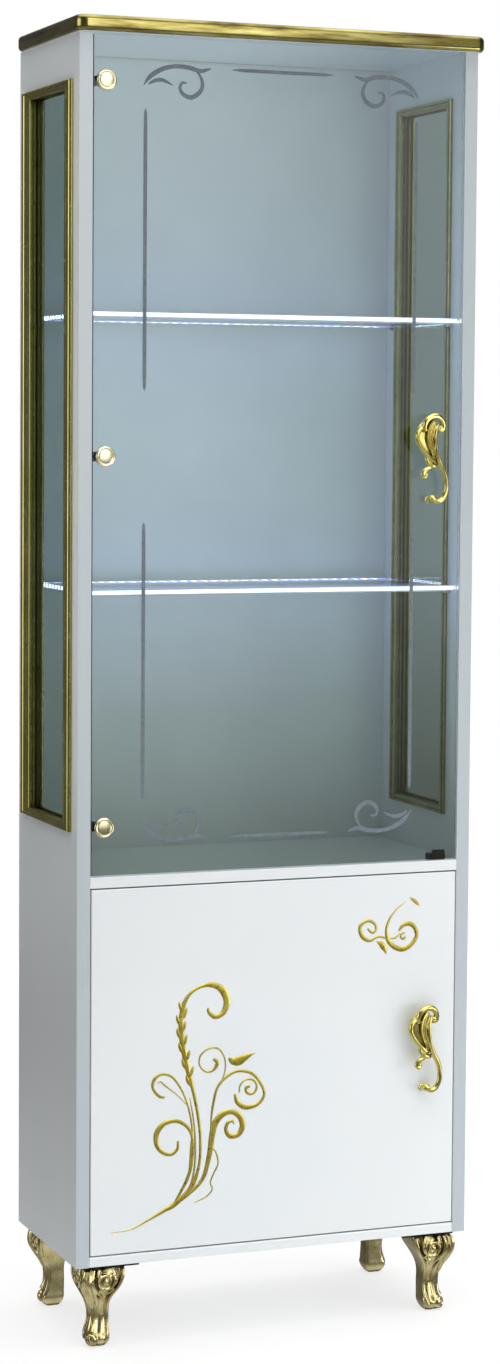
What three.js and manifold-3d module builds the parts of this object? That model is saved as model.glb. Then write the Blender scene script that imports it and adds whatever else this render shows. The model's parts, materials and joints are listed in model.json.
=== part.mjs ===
// Curio cabinet: a tall single-bay display cabinet on four cabriole legs.
// Glazed door above, lacquered cupboard door below, both hinged on the left.
// Millimetres. +X is the cabinet's right, -Y its front, +Z up. The origin is on the floor,
// under the middle of the whole object, door handles included.

import Module from "manifold-3d";
import * as THREE from "three";
import { mergeVertices } from "three/addons/utils/BufferGeometryUtils.js";

const wasm = await Module();
wasm.setup();

// ---------------------------------------------------------------- driving dimensions

const HEIGHT = 1920;
const WIDTH = 620; // over the side panels
const DEPTH = 285; // side panel, front edge to rear edge
const LEG_HEIGHT = 124; // floor to the underside of the carcass
const SIDE_THICK = 20;
const CORNICE = { height: 22.5, front: 17, side: 8, corner: 18, wall: 2 };
const MID_PANEL = { bottom: 678.5, thick: 16 };
const BOTTOM_THICK = 15;
const BACK_THICK = 4;
const BACK_REBATE = 10;
const HANDLE_PROUD = 27.3; // cupboard door face to the front of its handle
const DOOR_GAP = 2;
const PANE_THICK = 6;
const PANE_RECESS = 1;
const CUPBOARD_DOOR_THICK = 18;
const REST_GAP = 0.3; // clearance of a piece that rests on, or sits in, a curved neighbour
const PAST = 1; // how far a cutting tool runs past the face that it cuts

// Side windows, measured from the front plane (y) and the floor (z).
const WINDOW = { front: 60, rear: 228, bottom: 770, top: 1822 };
const WINDOW_LAP = 4; // the frames cover this much of the cut-out's edge
const OUTER_FRAME = { stile: 32, rail: 12, proud: 7 };
const INNER_FRAME = { stile: 14, rail: 12, proud: 7 };
const WINDOW_PANE_THICK = 4;
const WELD = 1; // a frame's moulding and its stop share this much

// Glass shelves and their lit edge profiles.
const SHELF_HEIGHTS = { upper: 1499, lower: 1100 };
const SHELF = { width: 562, front: 20, rear: 265, thick: 6 };
const LED_PROFILE = { tall: 9, deep: 11, wall: 1.2 };
const PIN = { radius: 2.5, reach: 10, bury: 9, hole: 3, fromFront: 38, fromRear: 37 };
const PIN_SIDES = 10;

// Inside the cupboard, and the wiring.
const CUPBOARD_SHELF = { z: 400, thick: 16, front: 45, gap: 1 };
const DRIVER = { x: -170, wide: 120, deep: 42, tall: 24, fromBack: 30 };
const DUCT = { wide: 9, deep: 11, wall: 1.5 };
const GROMMET = { x: 170, z: 230, hole: 30, flange: 35, lip: 3, bore: 25 };
const GROMMET_SIDES = 24;

// Door furniture.
const HINGE_HEIGHTS = { top: 1831, middle: 1299, bottom: 766 };
const GLASS_HINGE = { inset: 18.5, cap: 15, crown: 4, neck: 9, cup: 12, cupDeep: 10 };
const HINGE_TAB = { thick: 2, edge: 2, above: 5, below: 2 };
const GLASS_HINGE_ARM = { fromFront: 20, deep: 22, wide: 12, tall: 14 };
const GLASS_HINGE_PLATE = { fromFront: 23, deep: 22, thick: 3, tall: 30 };
const HINGE_SIDES = 16;
const CUPBOARD_HINGE_HEIGHTS = { top: 590, bottom: 226 };
const CUPBOARD_HINGE = { inset: 22, cup: 17.5, depth: 12, wall: 1, flange: 3, lip: 1.2 };
const CUPBOARD_HINGE_ARM = { fromDoor: 3, deep: 58, wide: 15, tall: 16 };
const CUPBOARD_HINGE_PLATE = { fromDoor: 17, deep: 24, thick: 3, tall: 48 };
const CUP_SIDES = 24;
const HANDLE_X = 236;
const HANDLE_HEIGHTS = { glass: 1294, cupboard: 409 };
const HANDLE_POSTS = [
  { x: -8, z: 40, length: 18 },
  { x: 7, z: -60, length: 14 },
];
const HANDLE_POST_RADIUS = 4;
const HANDLE_SCREW = { radius: 2, hole: 2.4, bury: 4 };
const CATCH = { x: 262, wide: 26, tall: 9, gap: 4, deepGlass: 14, deepCupboard: 28 };
const STRIKE = { wide: 20, tall: 12, onGlass: 2, onDoor: 1.5 };
const INLAY_THICK = 0.8;

// Legs, seen from the inner corner of each leg outwards.
const LEG = { inner: 229, inset: 5, reach: 67 };
const LEG_SIDES = 14;
const VOLUTE = { u: 18, z: 100, radius: 12, length: 12, back: 57 };
const TOE = { radius: 7.5, length: 24, out: 50, z: 13 };
const PLATE = { thick: 4, back: 18, front: 65 };

// ---------------------------------------------------------------- derived planes

const FRONT = (HANDLE_PROUD - DEPTH) / 2;
const BACK = FRONT + DEPTH;
const HALF = WIDTH / 2;
const INSIDE = HALF - SIDE_THICK;
const CARCASS_TOP = HEIGHT - CORNICE.height;
const MID_TOP = MID_PANEL.bottom + MID_PANEL.thick;
const FLOOR_TOP = LEG_HEIGHT + BOTTOM_THICK;
const BACK_FACE = BACK - BACK_THICK;
const DOOR_EDGE = INSIDE - DOOR_GAP;
const PANE = { front: FRONT + PANE_RECESS, bottom: MID_TOP + 2.5, top: CARCASS_TOP - 2.5 };
const CUPBOARD_DOOR = { bottom: FLOOR_TOP + DOOR_GAP, top: MID_PANEL.bottom - DOOR_GAP };

// ---------------------------------------------------------------- materials

const finish = (color, roughness, metalness) =>
  new THREE.MeshStandardMaterial({ color, roughness, metalness });

const LACQUER = () => finish(0xe9eef1, 0.12, 0);
const GOLD = () => finish(0xcfa846, 0.22, 1);
const AGED_GOLD = () => finish(0xa88a45, 0.35, 1);
const GOLD_LEAF = () => finish(0xc9a227, 0.4, 0.8);
const STEEL = () => finish(0x9a9da1, 0.35, 1);
const DARK_METAL = () => finish(0x2b2b2a, 0.5, 0.6);
const WHITE_PLASTIC = () => finish(0xe4e6e6, 0.5, 0);
const BACKBOARD = () => finish(0xc9cdd0, 0.6, 0);

function glass(color, opacity) {
  const material = finish(color, 0.05, 0);
  material.transparent = true;
  material.opacity = opacity;
  return material;
}

const SMOKED_GLASS = () => glass(0x8fa0a8, 0.45);
const CLEAR_GLASS = () => glass(0xcfe0ea, 0.35);

// ---------------------------------------------------------------- solid helpers

// A closed geometry as a manifold solid, turned the right way out if it is inside out.
function solid(geometry) {
  const bare = geometry.clone();
  bare.deleteAttribute("normal");
  bare.deleteAttribute("uv");
  const merged = mergeVertices(bare, 1e-4);
  const build = (triangles) =>
    new wasm.Manifold(
      new wasm.Mesh({
        numProp: 3,
        vertProperties: new Float32Array(merged.attributes.position.array),
        triVerts: new Uint32Array(triangles),
      }),
    );
  const triangles = Array.from(merged.index.array).filter(
    (_, i, all) => new Set(all.slice(i - (i % 3), i - (i % 3) + 3)).size === 3,
  );
  const body = build(triangles);
  return body.volume() > 0 ? body : build(triangles.reverse());
}

function geometryOf(body) {
  const mesh = body.getMesh();
  const geometry = new THREE.BufferGeometry();
  geometry.setAttribute("position", new THREE.BufferAttribute(mesh.vertProperties.slice(), 3));
  geometry.setIndex(new THREE.BufferAttribute(mesh.triVerts.slice(), 1));
  geometry.computeVertexNormals();
  return geometry;
}

const join = (...bodies) => bodies.reduce((whole, body) => whole.add(body));
const cut = (whole, ...tools) => tools.reduce((rest, tool) => rest.subtract(tool), whole);

// Box between two corners.
function box([x0, y0, z0], [x1, y1, z1]) {
  const geometry = new THREE.BoxGeometry(x1 - x0, y1 - y0, z1 - z0);
  geometry.translate((x0 + x1) / 2, (y0 + y1) / 2, (z0 + z1) / 2);
  return solid(geometry);
}

// Cylinder centred on `at`, along "x", "y" or "z".
function cylinder(axis, radius, length, at, sides = 16) {
  const geometry = new THREE.CylinderGeometry(radius, radius, length, sides);
  if (axis === "x") geometry.rotateZ(Math.PI / 2);
  if (axis === "z") geometry.rotateX(Math.PI / 2);
  geometry.translate(...at);
  return solid(geometry);
}

// Profile turned about the Y axis through `at`: [radius, y] points, first and last on the axis.
function turned(profile, at, sides = 20) {
  const points = profile.map(([radius, y]) => new THREE.Vector2(radius, y));
  const geometry = new THREE.LatheGeometry(points, sides);
  geometry.translate(...at);
  return solid(geometry);
}

// Section in the XZ plane, as [x, z] points, extruded along Y from y0 to y1.
function slab(outline, y0, y1) {
  const shape = new THREE.Shape(outline.map(([x, z]) => new THREE.Vector2(x, z)));
  const geometry = new THREE.ExtrudeGeometry(shape, { depth: y1 - y0, bevelEnabled: false });
  geometry.rotateX(Math.PI / 2);
  geometry.translate(0, y1, 0);
  return solid(geometry);
}

// Section in the YZ plane, as [y, z] points, extruded along X from x0 to x1.
function rail(outline, x0, x1) {
  const shape = new THREE.Shape(outline.map(([y, z]) => new THREE.Vector2(y, z)));
  const geometry = new THREE.ExtrudeGeometry(shape, { depth: x1 - x0, bevelEnabled: false });
  const toWorld = new THREE.Matrix4().set(0, 0, 1, x0, 1, 0, 0, 0, 0, 1, 0, 0, 0, 0, 0, 1);
  geometry.applyMatrix4(toWorld);
  return solid(geometry);
}

const root = new THREE.Group();

function place(name, body, material) {
  const mesh = new THREE.Mesh(geometryOf(body), material);
  mesh.name = name;
  root.add(mesh);
}

// Left and right copies: `side` is -1 for the left one.
function onBothSides(make) {
  make("left", -1);
  make("right", 1);
}

// Box between two distances from the middle, on the given side.
function sideBox(side, near, far, [y0, z0], [y1, z1]) {
  const [x0, x1] = side > 0 ? [near, far] : [-far, -near];
  return box([x0, y0, z0], [x1, y1, z1]);
}

// ---------------------------------------------------------------- carcass

const pinRows = { front: FRONT + PIN.fromFront, rear: BACK - PIN.fromRear };
const pinHeight = (shelfBottom) => shelfBottom - PIN.radius;

function sidePanel(side) {
  const panel = sideBox(side, INSIDE, HALF, [FRONT, LEG_HEIGHT], [BACK, CARCASS_TOP]);
  const cutOut = sideBox(
    side,
    INSIDE - PAST,
    HALF + PAST,
    [FRONT + WINDOW.front - WINDOW_LAP, WINDOW.bottom - WINDOW_LAP],
    [FRONT + WINDOW.rear + WINDOW_LAP, WINDOW.top + WINDOW_LAP],
  );
  const rebate = sideBox(
    side,
    INSIDE - PAST,
    INSIDE + BACK_REBATE,
    [BACK_FACE, LEG_HEIGHT - PAST],
    [BACK + PAST, CARCASS_TOP + PAST],
  );
  const pinHoles = Object.values(SHELF_HEIGHTS).flatMap((height) =>
    Object.values(pinRows).map((y) =>
      cylinder("x", PIN.hole, 2 * PIN.reach, [side * INSIDE, y, pinHeight(height)], PIN_SIDES),
    ),
  );
  return cut(panel, cutOut, rebate, ...pinHoles);
}

function roundedRectangle(halfWidth, front, back, corner) {
  const shape = new THREE.Shape();
  shape.moveTo(-halfWidth + corner, front);
  shape.absarc(halfWidth - corner, front + corner, corner, -Math.PI / 2, 0, false);
  shape.absarc(halfWidth - corner, back - corner, corner, 0, Math.PI / 2, false);
  shape.absarc(-halfWidth + corner, back - corner, corner, Math.PI / 2, Math.PI, false);
  shape.absarc(-halfWidth + corner, front + corner, corner, Math.PI, 1.5 * Math.PI, false);
  return shape;
}

function roundedBoard(inset) {
  const shape = roundedRectangle(
    HALF + CORNICE.side - inset,
    FRONT - CORNICE.front + inset,
    BACK - inset,
    CORNICE.corner - inset,
  );
  const geometry = new THREE.ExtrudeGeometry(shape, {
    depth: CORNICE.height,
    bevelEnabled: false,
    curveSegments: 4,
  });
  geometry.translate(0, 0, CARCASS_TOP);
  return solid(geometry);
}

onBothSides((label, side) => place(`side_panel_${label}`, sidePanel(side), LACQUER()));
place("top_board", roundedBoard(CORNICE.wall + REST_GAP), LACQUER());
place("cornice_trim", cut(roundedBoard(0), roundedBoard(CORNICE.wall)), GOLD());

// Space for the wires inside the cable duct, between two heights.
function wireway(z0, z1) {
  return box(
    [-INSIDE + DUCT.wall, BACK_FACE - DUCT.deep + DUCT.wall, z0],
    [-INSIDE + DUCT.wide - DUCT.wall, BACK_FACE + PAST, z1],
  );
}

place(
  "mid_panel",
  cut(
    box([-INSIDE, FRONT, MID_PANEL.bottom], [INSIDE, BACK_FACE, MID_TOP]),
    wireway(MID_PANEL.bottom - PAST, MID_TOP + PAST),
  ),
  LACQUER(),
);
place(
  "bottom_panel",
  box([-INSIDE, FRONT, LEG_HEIGHT], [INSIDE, BACK_FACE, FLOOR_TOP]),
  LACQUER(),
);

place(
  "back_panel",
  cut(
    box(
      [-INSIDE - BACK_REBATE, BACK_FACE, LEG_HEIGHT],
      [INSIDE + BACK_REBATE, BACK, CARCASS_TOP],
    ),
    cylinder("y", GROMMET.hole, 4 * BACK_THICK, [GROMMET.x, BACK, GROMMET.z], GROMMET_SIDES),
  ),
  BACKBOARD(),
);

place(
  "cupboard_shelf",
  box(
    [-INSIDE + CUPBOARD_SHELF.gap, FRONT + CUPBOARD_SHELF.front, CUPBOARD_SHELF.z],
    [
      INSIDE - CUPBOARD_SHELF.gap,
      BACK_FACE - CUPBOARD_SHELF.gap,
      CUPBOARD_SHELF.z + CUPBOARD_SHELF.thick,
    ],
  ),
  LACQUER(),
);

// ---------------------------------------------------------------- side windows

// Mitred ring round an opening: a closed section [t, h], where t runs from the outer edge (0)
// to the opening (1) and h is the height over the panel face, carried round four corners.
function mitredRing(section, outer, opening, faceX, side) {
  const points = section.map(([t, h]) => new THREE.Vector2(2 - t, h));
  const ring = new THREE.LatheGeometry(points, 4, Math.PI / 4);
  const position = ring.attributes.position;
  for (let i = 0; i < position.count; i += 1) {
    const radius = Math.hypot(position.getX(i), position.getZ(i));
    const t = 2 - radius;
    const ySide = position.getX(i) > 0 ? 1 : 0;
    const zSide = position.getZ(i) > 0 ? 1 : 0;
    const y = THREE.MathUtils.lerp(outer.y[ySide], opening.y[ySide], t);
    const z = THREE.MathUtils.lerp(outer.z[zSide], opening.z[zSide], t);
    position.setXYZ(i, faceX + side * position.getY(i), y, z);
  }
  return solid(ring);
}

const WINDOW_OPENING = {
  y: [FRONT + WINDOW.front, FRONT + WINDOW.rear],
  z: [WINDOW.bottom, WINDOW.top],
};

function windowFrame(size, faceX, side) {
  const outer = {
    y: [WINDOW_OPENING.y[0] - size.stile, WINDOW_OPENING.y[1] + size.stile],
    z: [WINDOW_OPENING.z[0] - size.rail, WINDOW_OPENING.z[1] + size.rail],
  };
  const moulding = [
    [0, 0],
    [0.06, size.proud * 0.7],
    [0.2, size.proud],
    [0.36, size.proud],
    [0.6, size.proud * 0.55],
    [0.86, size.proud * 0.45],
    [1, size.proud * 0.25],
    [1, 0],
    [0, 0],
  ];
  return mitredRing(moulding, outer, WINDOW_OPENING, faceX, side);
}

// Block that fills the panel's cut-out, between two distances from the middle.
function inCutOut(side, near, far) {
  const edge = WINDOW_LAP - REST_GAP;
  return sideBox(
    side,
    near,
    far,
    [WINDOW_OPENING.y[0] - edge, WINDOW_OPENING.z[0] - edge],
    [WINDOW_OPENING.y[1] + edge, WINDOW_OPENING.z[1] + edge],
  );
}

// Stop inside the cut-out that clamps the pane: runs from the panel face down to the glass.
function windowStop(side, near, far) {
  const hole = sideBox(
    side,
    INSIDE - SIDE_THICK,
    HALF + SIDE_THICK,
    [WINDOW_OPENING.y[0], WINDOW_OPENING.z[0]],
    [WINDOW_OPENING.y[1], WINDOW_OPENING.z[1]],
  );
  return cut(inCutOut(side, near, far), hole);
}

onBothSides((label, side) => {
  const middle = HALF - SIDE_THICK / 2;
  const paneOut = middle + WINDOW_PANE_THICK / 2;
  const paneIn = middle - WINDOW_PANE_THICK / 2;
  const outer = windowFrame(OUTER_FRAME, side * HALF, side);
  const inner = windowFrame(INNER_FRAME, side * INSIDE, -side);
  place(
    `window_frame_outer_${label}`,
    join(outer, windowStop(side, paneOut, HALF + WELD)),
    GOLD(),
  );
  place(
    `window_frame_inner_${label}`,
    join(inner, windowStop(side, INSIDE - WELD, paneIn)),
    GOLD(),
  );
  place(`window_pane_${label}`, inCutOut(side, paneIn, paneOut), SMOKED_GLASS());
});

// ---------------------------------------------------------------- glass shelves

// Channel that grips the long edge of a shelf; `inward` is the way its mouth faces along Y.
function ledProfile(edgeY, shelfBottom, inward) {
  const { tall, deep, wall } = LED_PROFILE;
  const low = shelfBottom - (tall - SHELF.thick) / 2;
  const high = low + tall;
  const slot = deep / 2;
  const spine = edgeY - inward * (deep - slot);
  const mouth = edgeY + inward * slot;
  const seat = edgeY - inward * REST_GAP;
  const outline = [
    [spine, low],
    [mouth, low],
    [mouth, low + wall],
    [seat, low + wall],
    [seat, high - wall],
    [mouth, high - wall],
    [mouth, high],
    [spine, high],
  ];
  return rail(outline, -SHELF.width / 2, SHELF.width / 2);
}

for (const [level, bottom] of Object.entries(SHELF_HEIGHTS)) {
  const edges = {
    front: FRONT + SHELF.front + LED_PROFILE.deep / 2,
    rear: FRONT + SHELF.rear - LED_PROFILE.deep / 2,
  };
  place(
    `glass_shelf_${level}`,
    box(
      [-SHELF.width / 2, edges.front, bottom],
      [SHELF.width / 2, edges.rear, bottom + SHELF.thick],
    ),
    CLEAR_GLASS(),
  );
  place(`led_profile_${level}_front`, ledProfile(edges.front, bottom, 1), STEEL());
  place(`led_profile_${level}_rear`, ledProfile(edges.rear, bottom, -1), STEEL());
  for (const [row, y] of Object.entries(pinRows)) {
    onBothSides((label, side) => {
      const length = PIN.reach + PIN.bury;
      const centre = INSIDE - PIN.reach + length / 2;
      const at = [side * centre, y, pinHeight(bottom)];
      const pin = cylinder("x", PIN.radius, length, at, PIN_SIDES);
      place(`shelf_pin_${level}_${row}_${label}`, pin, STEEL());
    });
  }
}

// ---------------------------------------------------------------- electrics

place(
  "led_driver",
  box(
    [
      DRIVER.x - DRIVER.wide / 2,
      BACK_FACE - DRIVER.fromBack - DRIVER.deep,
      MID_PANEL.bottom - DRIVER.tall,
    ],
    [DRIVER.x + DRIVER.wide / 2, BACK_FACE - DRIVER.fromBack, MID_PANEL.bottom],
  ),
  WHITE_PLASTIC(),
);

function cableDuct() {
  const top = SHELF_HEIGHTS.upper + SHELF.thick;
  const shell = box(
    [-INSIDE, BACK_FACE - DUCT.deep, MID_TOP],
    [-INSIDE + DUCT.wide, BACK_FACE, top],
  );
  return cut(shell, wireway(MID_TOP - PAST, top - DUCT.wall));
}

place("led_cable_duct", cableDuct(), WHITE_PLASTIC());

// Flanged bush through the back panel, flange inside the cupboard.
function cableGrommet() {
  const at = [GROMMET.x, BACK_FACE, GROMMET.z];
  const barrel = GROMMET.hole - REST_GAP;
  const body = turned(
    [
      [0, -GROMMET.lip],
      [GROMMET.flange, -GROMMET.lip],
      [GROMMET.flange, 0],
      [barrel, 0],
      [barrel, BACK_THICK],
      [0, BACK_THICK],
    ],
    at,
    GROMMET_SIDES,
  );
  return cut(body, cylinder("y", GROMMET.bore, 4 * BACK_THICK, at, GROMMET_SIDES));
}

place("cable_grommet", cableGrommet(), DARK_METAL());

// ---------------------------------------------------------------- legs

// Stations of the leg from the floor up: [height, inner plane, outer plane], both measured
// outwards from the leg's inner corner.
const LEG_STATIONS = [
  [0, 29, 49],
  [5, 25, 54],
  [13, 22, 57],
  [24, 22, 52],
  [42, 22, 48],
  [60, 22, 51],
  [74, 19, 57],
  [88, 12, 64],
  [100, 5, 67],
  [112, 1, 66],
  [120, 0, 62],
];

// Radius factor of a squared circle: crisp towards the inner corner, round at the outer one.
function squareness(angle, towardsOutside) {
  const power = towardsOutside ? 2.6 : 9;
  const sum = Math.abs(Math.cos(angle)) ** power + Math.abs(Math.sin(angle)) ** power;
  return sum ** (-1 / power);
}

function legBody() {
  const levels = LEG_STATIONS.length - 1;
  const geometry = new THREE.CylinderGeometry(1, 1, levels, LEG_SIDES, levels);
  const position = geometry.attributes.position;
  for (let i = 0; i < position.count; i += 1) {
    const station = LEG_STATIONS[Math.round(position.getY(i) + levels / 2)];
    const [height, inner, outer] = station;
    const x = position.getX(i);
    const y = position.getZ(i);
    const angle = Math.atan2(y, x);
    const factor = Math.hypot(x, y) * squareness(angle, x + y > 0.01);
    const half = (outer - inner) / 2;
    const middle = (outer + inner) / 2;
    position.setXYZ(
      i,
      middle + half * factor * Math.cos(angle),
      middle + half * factor * Math.sin(angle),
      height,
    );
  }
  return solid(geometry);
}

// Leg in its own corner: +x and +y both point out of the cabinet.
function legCorner() {
  const toe = new THREE.CylinderGeometry(TOE.radius, TOE.radius, TOE.length, LEG_SIDES);
  toe.rotateZ(Math.PI / 2);
  toe.rotateZ(-Math.PI / 4);
  toe.translate(TOE.out, TOE.out, TOE.z);
  const { u, z, radius, length, back } = VOLUTE;
  return join(
    legBody(),
    cylinder("y", radius, length, [u, back + length / 2, z], LEG_SIDES),
    cylinder("x", radius, length, [back + length / 2, u, z], LEG_SIDES),
    solid(toe),
  );
}

const corner = legCorner();
const footprint = {
  front: { y: FRONT + LEG.inset + LEG.reach, out: -1 },
  rear: { y: BACK - LEG.inset - LEG.reach, out: 1 },
};

for (const [row, { y, out }] of Object.entries(footprint)) {
  onBothSides((label, side) => {
    const mirrored = corner.scale([side, out, 1]);
    place(
      `leg_${row}_${label}`,
      mirrored.translate([side * LEG.inner, y, 0]),
      AGED_GOLD(),
    );
    const near = LEG.inner - PLATE.back;
    const far = LEG.inner + PLATE.front;
    const edges = [y - out * PLATE.back, y + out * PLATE.front].sort((a, b) => a - b);
    place(
      `leg_plate_${row}_${label}`,
      sideBox(side, near, far, [edges[0], LEG_HEIGHT - PLATE.thick], [edges[1], LEG_HEIGHT]),
      DARK_METAL(),
    );
  });
}

// ---------------------------------------------------------------- curved ornament helpers

// Tube of changing radius along a smooth curve: stations are [x, y, z, radius].
function vine(stations, sides = 7, steps = 3 * stations.length) {
  const curve = new THREE.CatmullRomCurve3(stations.map(([x, y, z]) => new THREE.Vector3(x, y, z)));
  const frames = curve.computeFrenetFrames(steps, false);
  const geometry = new THREE.CylinderGeometry(1, 1, steps, sides, steps);
  const position = geometry.attributes.position;
  for (let i = 0; i < position.count; i += 1) {
    const step = Math.round(position.getY(i) + steps / 2);
    const centre = curve.getPointAt(step / steps);
    const along = curve.getUtoTmapping(step / steps) * (stations.length - 1);
    const low = Math.min(Math.floor(along), stations.length - 2);
    const radius = THREE.MathUtils.lerp(stations[low][3], stations[low + 1][3], along - low);
    centre.addScaledVector(frames.normals[step], radius * position.getX(i));
    centre.addScaledVector(frames.binormals[step], radius * position.getZ(i));
    position.setXYZ(i, centre.x, centre.y, centre.z);
  }
  return solid(geometry);
}

// Flat stroke of changing width in the XZ plane: stations are [x, z, width].
function stroke(stations, y0, y1) {
  const steps = 2 * stations.length;
  const curve = new THREE.CatmullRomCurve3(stations.map(([x, z]) => new THREE.Vector3(x, 0, z)));
  const left = [];
  const right = [];
  for (let step = 0; step <= steps; step += 1) {
    const t = step / steps;
    const centre = curve.getPoint(t);
    const tangent = curve.getTangent(t);
    const along = t * (stations.length - 1);
    const low = Math.min(Math.floor(along), stations.length - 2);
    const width = THREE.MathUtils.lerp(stations[low][2], stations[low + 1][2], along - low);
    left.push([centre.x - (tangent.z * width) / 2, centre.z + (tangent.x * width) / 2]);
    right.push([centre.x + (tangent.z * width) / 2, centre.z - (tangent.x * width) / 2]);
  }
  return slab([...left, ...right.reverse()], y0, y1);
}

// ---------------------------------------------------------------- handles

// Ornate handle seen from the front, in its own frame: x right, z up, y = 0 on the door face.
// Its two screws reach that far into the door.
function handleBody(screwReach) {
  const spine = [
    [13, -13, 39, 2.6],
    [16, -15, 50, 4],
    [9, -17, 62, 5.2],
    [-3, -18, 64, 5.6],
    [-11, -18, 52, 6.4],
    [-8, -19, 34, 8],
    [-3, -20, 16, 7.6],
    [0, -20, 1, 6.2],
    [9, -20, -10, 4.6],
    [19, -18, -24, 3.8],
    [23, -17, -40, 3.6],
    [17, -15, -54, 4.2],
    [6, -14, -61, 5.4],
  ];
  const loop = [
    [-11, -17, 54, 3.2],
    [-20, -18, 42, 3.4],
    [-22, -18, 29, 3.2],
    [-15, -19, 13, 3.4],
    [-4, -20, 2, 4],
  ];
  const curl = [
    [0, -19, 0, 4.2],
    [-11, -18, -8, 4],
    [-16, -16, -18, 4.4],
    [-8, -15, -23, 3.4],
  ];
  const posts = HANDLE_POSTS.map(({ x, z, length }) =>
    cylinder("y", HANDLE_POST_RADIUS, length, [x, -length / 2, z], PIN_SIDES),
  );
  const { radius, bury } = HANDLE_SCREW;
  const screws = HANDLE_POSTS.map(({ x, z }) =>
    cylinder("y", radius, screwReach + bury, [x, (screwReach - bury) / 2, z], PIN_SIDES),
  );
  return join(vine(spine), vine(loop, 6), vine(curl, 6), ...posts, ...screws);
}

function handleHoles(faceY, thick, height) {
  return HANDLE_POSTS.map(({ x, z }) => {
    const at = [HANDLE_X + x, faceY + thick / 2, height + z];
    return cylinder("y", HANDLE_SCREW.hole, 4 * thick, at, PIN_SIDES);
  });
}

function placeHandle(name, faceY, thick, height) {
  const body = handleBody(thick - PAST);
  place(name, body.translate([HANDLE_X, faceY, height]), GOLD());
}

// ---------------------------------------------------------------- catches

// Magnetic catch behind the closed door, its underside at z.
function catchBlock(doorBack, z, deep) {
  return box(
    [CATCH.x - CATCH.wide / 2, doorBack + CATCH.gap, z],
    [CATCH.x + CATCH.wide / 2, doorBack + CATCH.gap + deep, z + CATCH.tall],
  );
}

// Plate on the back of the door that the catch pulls, its lower edge at z.
function strikePlate(doorBack, z, thick) {
  return box(
    [CATCH.x - STRIKE.wide / 2, doorBack, z],
    [CATCH.x + STRIKE.wide / 2, doorBack + thick, z + STRIKE.tall],
  );
}

// ---------------------------------------------------------------- glass door

const glassHingeX = -DOOR_EDGE + GLASS_HINGE.inset;
const PANE_BACK = PANE.front + PANE_THICK;

function glassDoorPane() {
  const pane = box(
    [-DOOR_EDGE, PANE.front, PANE.bottom],
    [DOOR_EDGE, PANE.front + PANE_THICK, PANE.top],
  );
  const hingeHoles = Object.values(HINGE_HEIGHTS).map((z) =>
    cylinder(
      "y",
      GLASS_HINGE.neck + REST_GAP,
      4 * PANE_THICK,
      [glassHingeX, PANE.front + PANE_THICK / 2, z],
      HINGE_SIDES,
    ),
  );
  return cut(pane, ...hingeHoles, ...handleHoles(PANE.front, PANE_THICK, HANDLE_HEIGHTS.glass));
}

// Gold cap in front of the glass, neck through it, cup behind it, and a pointed tab that
// reaches towards the hinge side.
function glassHinge(z) {
  const { cap, crown, neck, cup, cupDeep } = GLASS_HINGE;
  const rear = PANE_THICK + cupDeep;
  const disc = turned(
    [
      [0, -crown],
      [0.73 * cap, -0.9 * crown],
      [0.93 * cap, -0.6 * crown],
      [cap, -0.25 * crown],
      [cap, 0],
      [neck, 0],
      [neck, PANE_THICK],
      [cup, PANE_THICK],
      [cup, rear],
      [0, rear],
    ],
    [glassHingeX, PANE.front, z],
    HINGE_SIDES,
  );
  const { thick, edge, above, below } = HINGE_TAB;
  const tab = slab(
    [
      [-DOOR_EDGE + edge, z - below],
      [glassHingeX, z - 0.87 * cap],
      [glassHingeX, z + 0.87 * cap],
      [-DOOR_EDGE + edge, z + above],
    ],
    PANE.front - thick,
    PANE.front,
  );
  return disc.add(tab);
}

// Block against the left side panel, standing inwards from it; y is its front.
function onLeftPanel(y, z, { deep, tall }, reach) {
  return box([-INSIDE, y, z - tall / 2], [-INSIDE + reach, y + deep, z + tall / 2]);
}

// Arm screwed to the side panel, reaching to just behind the cup.
function glassHingeArm(z) {
  const arm = GLASS_HINGE_ARM;
  const plate = GLASS_HINGE_PLATE;
  return join(
    onLeftPanel(FRONT + arm.fromFront, z, arm, arm.wide),
    onLeftPanel(FRONT + plate.fromFront, z, plate, plate.thick),
  );
}

place("glass_door_pane", glassDoorPane(), SMOKED_GLASS());
for (const [label, z] of Object.entries(HINGE_HEIGHTS)) {
  place(`glass_hinge_${label}`, glassHinge(z), GOLD());
  place(`glass_hinge_arm_${label}`, glassHingeArm(z), DARK_METAL());
}
placeHandle("glass_door_handle", PANE.front, PANE_THICK, HANDLE_HEIGHTS.glass);

// The glass door's catch stands on the mid panel.
place("glass_door_catch", catchBlock(PANE_BACK, MID_TOP, CATCH.deepGlass), DARK_METAL());
place("glass_door_strike", strikePlate(PANE_BACK, PANE.bottom + PAST, STRIKE.onGlass), DARK_METAL());

// ---------------------------------------------------------------- cupboard door

const DOOR_BACK = FRONT + CUPBOARD_DOOR_THICK;
const cupboardHingeX = -DOOR_EDGE + CUPBOARD_HINGE.inset;

function cupboardDoor() {
  const panel = box(
    [-DOOR_EDGE, FRONT, CUPBOARD_DOOR.bottom],
    [DOOR_EDGE, DOOR_BACK, CUPBOARD_DOOR.top],
  );
  const cupHoles = Object.values(CUPBOARD_HINGE_HEIGHTS).map((z) =>
    cylinder(
      "y",
      CUPBOARD_HINGE.cup,
      2 * CUPBOARD_HINGE.depth,
      [cupboardHingeX, DOOR_BACK, z],
      CUP_SIDES,
    ),
  );
  return cut(
    panel,
    ...cupHoles,
    ...handleHoles(FRONT, CUPBOARD_DOOR_THICK, HANDLE_HEIGHTS.cupboard),
  );
}

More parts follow.
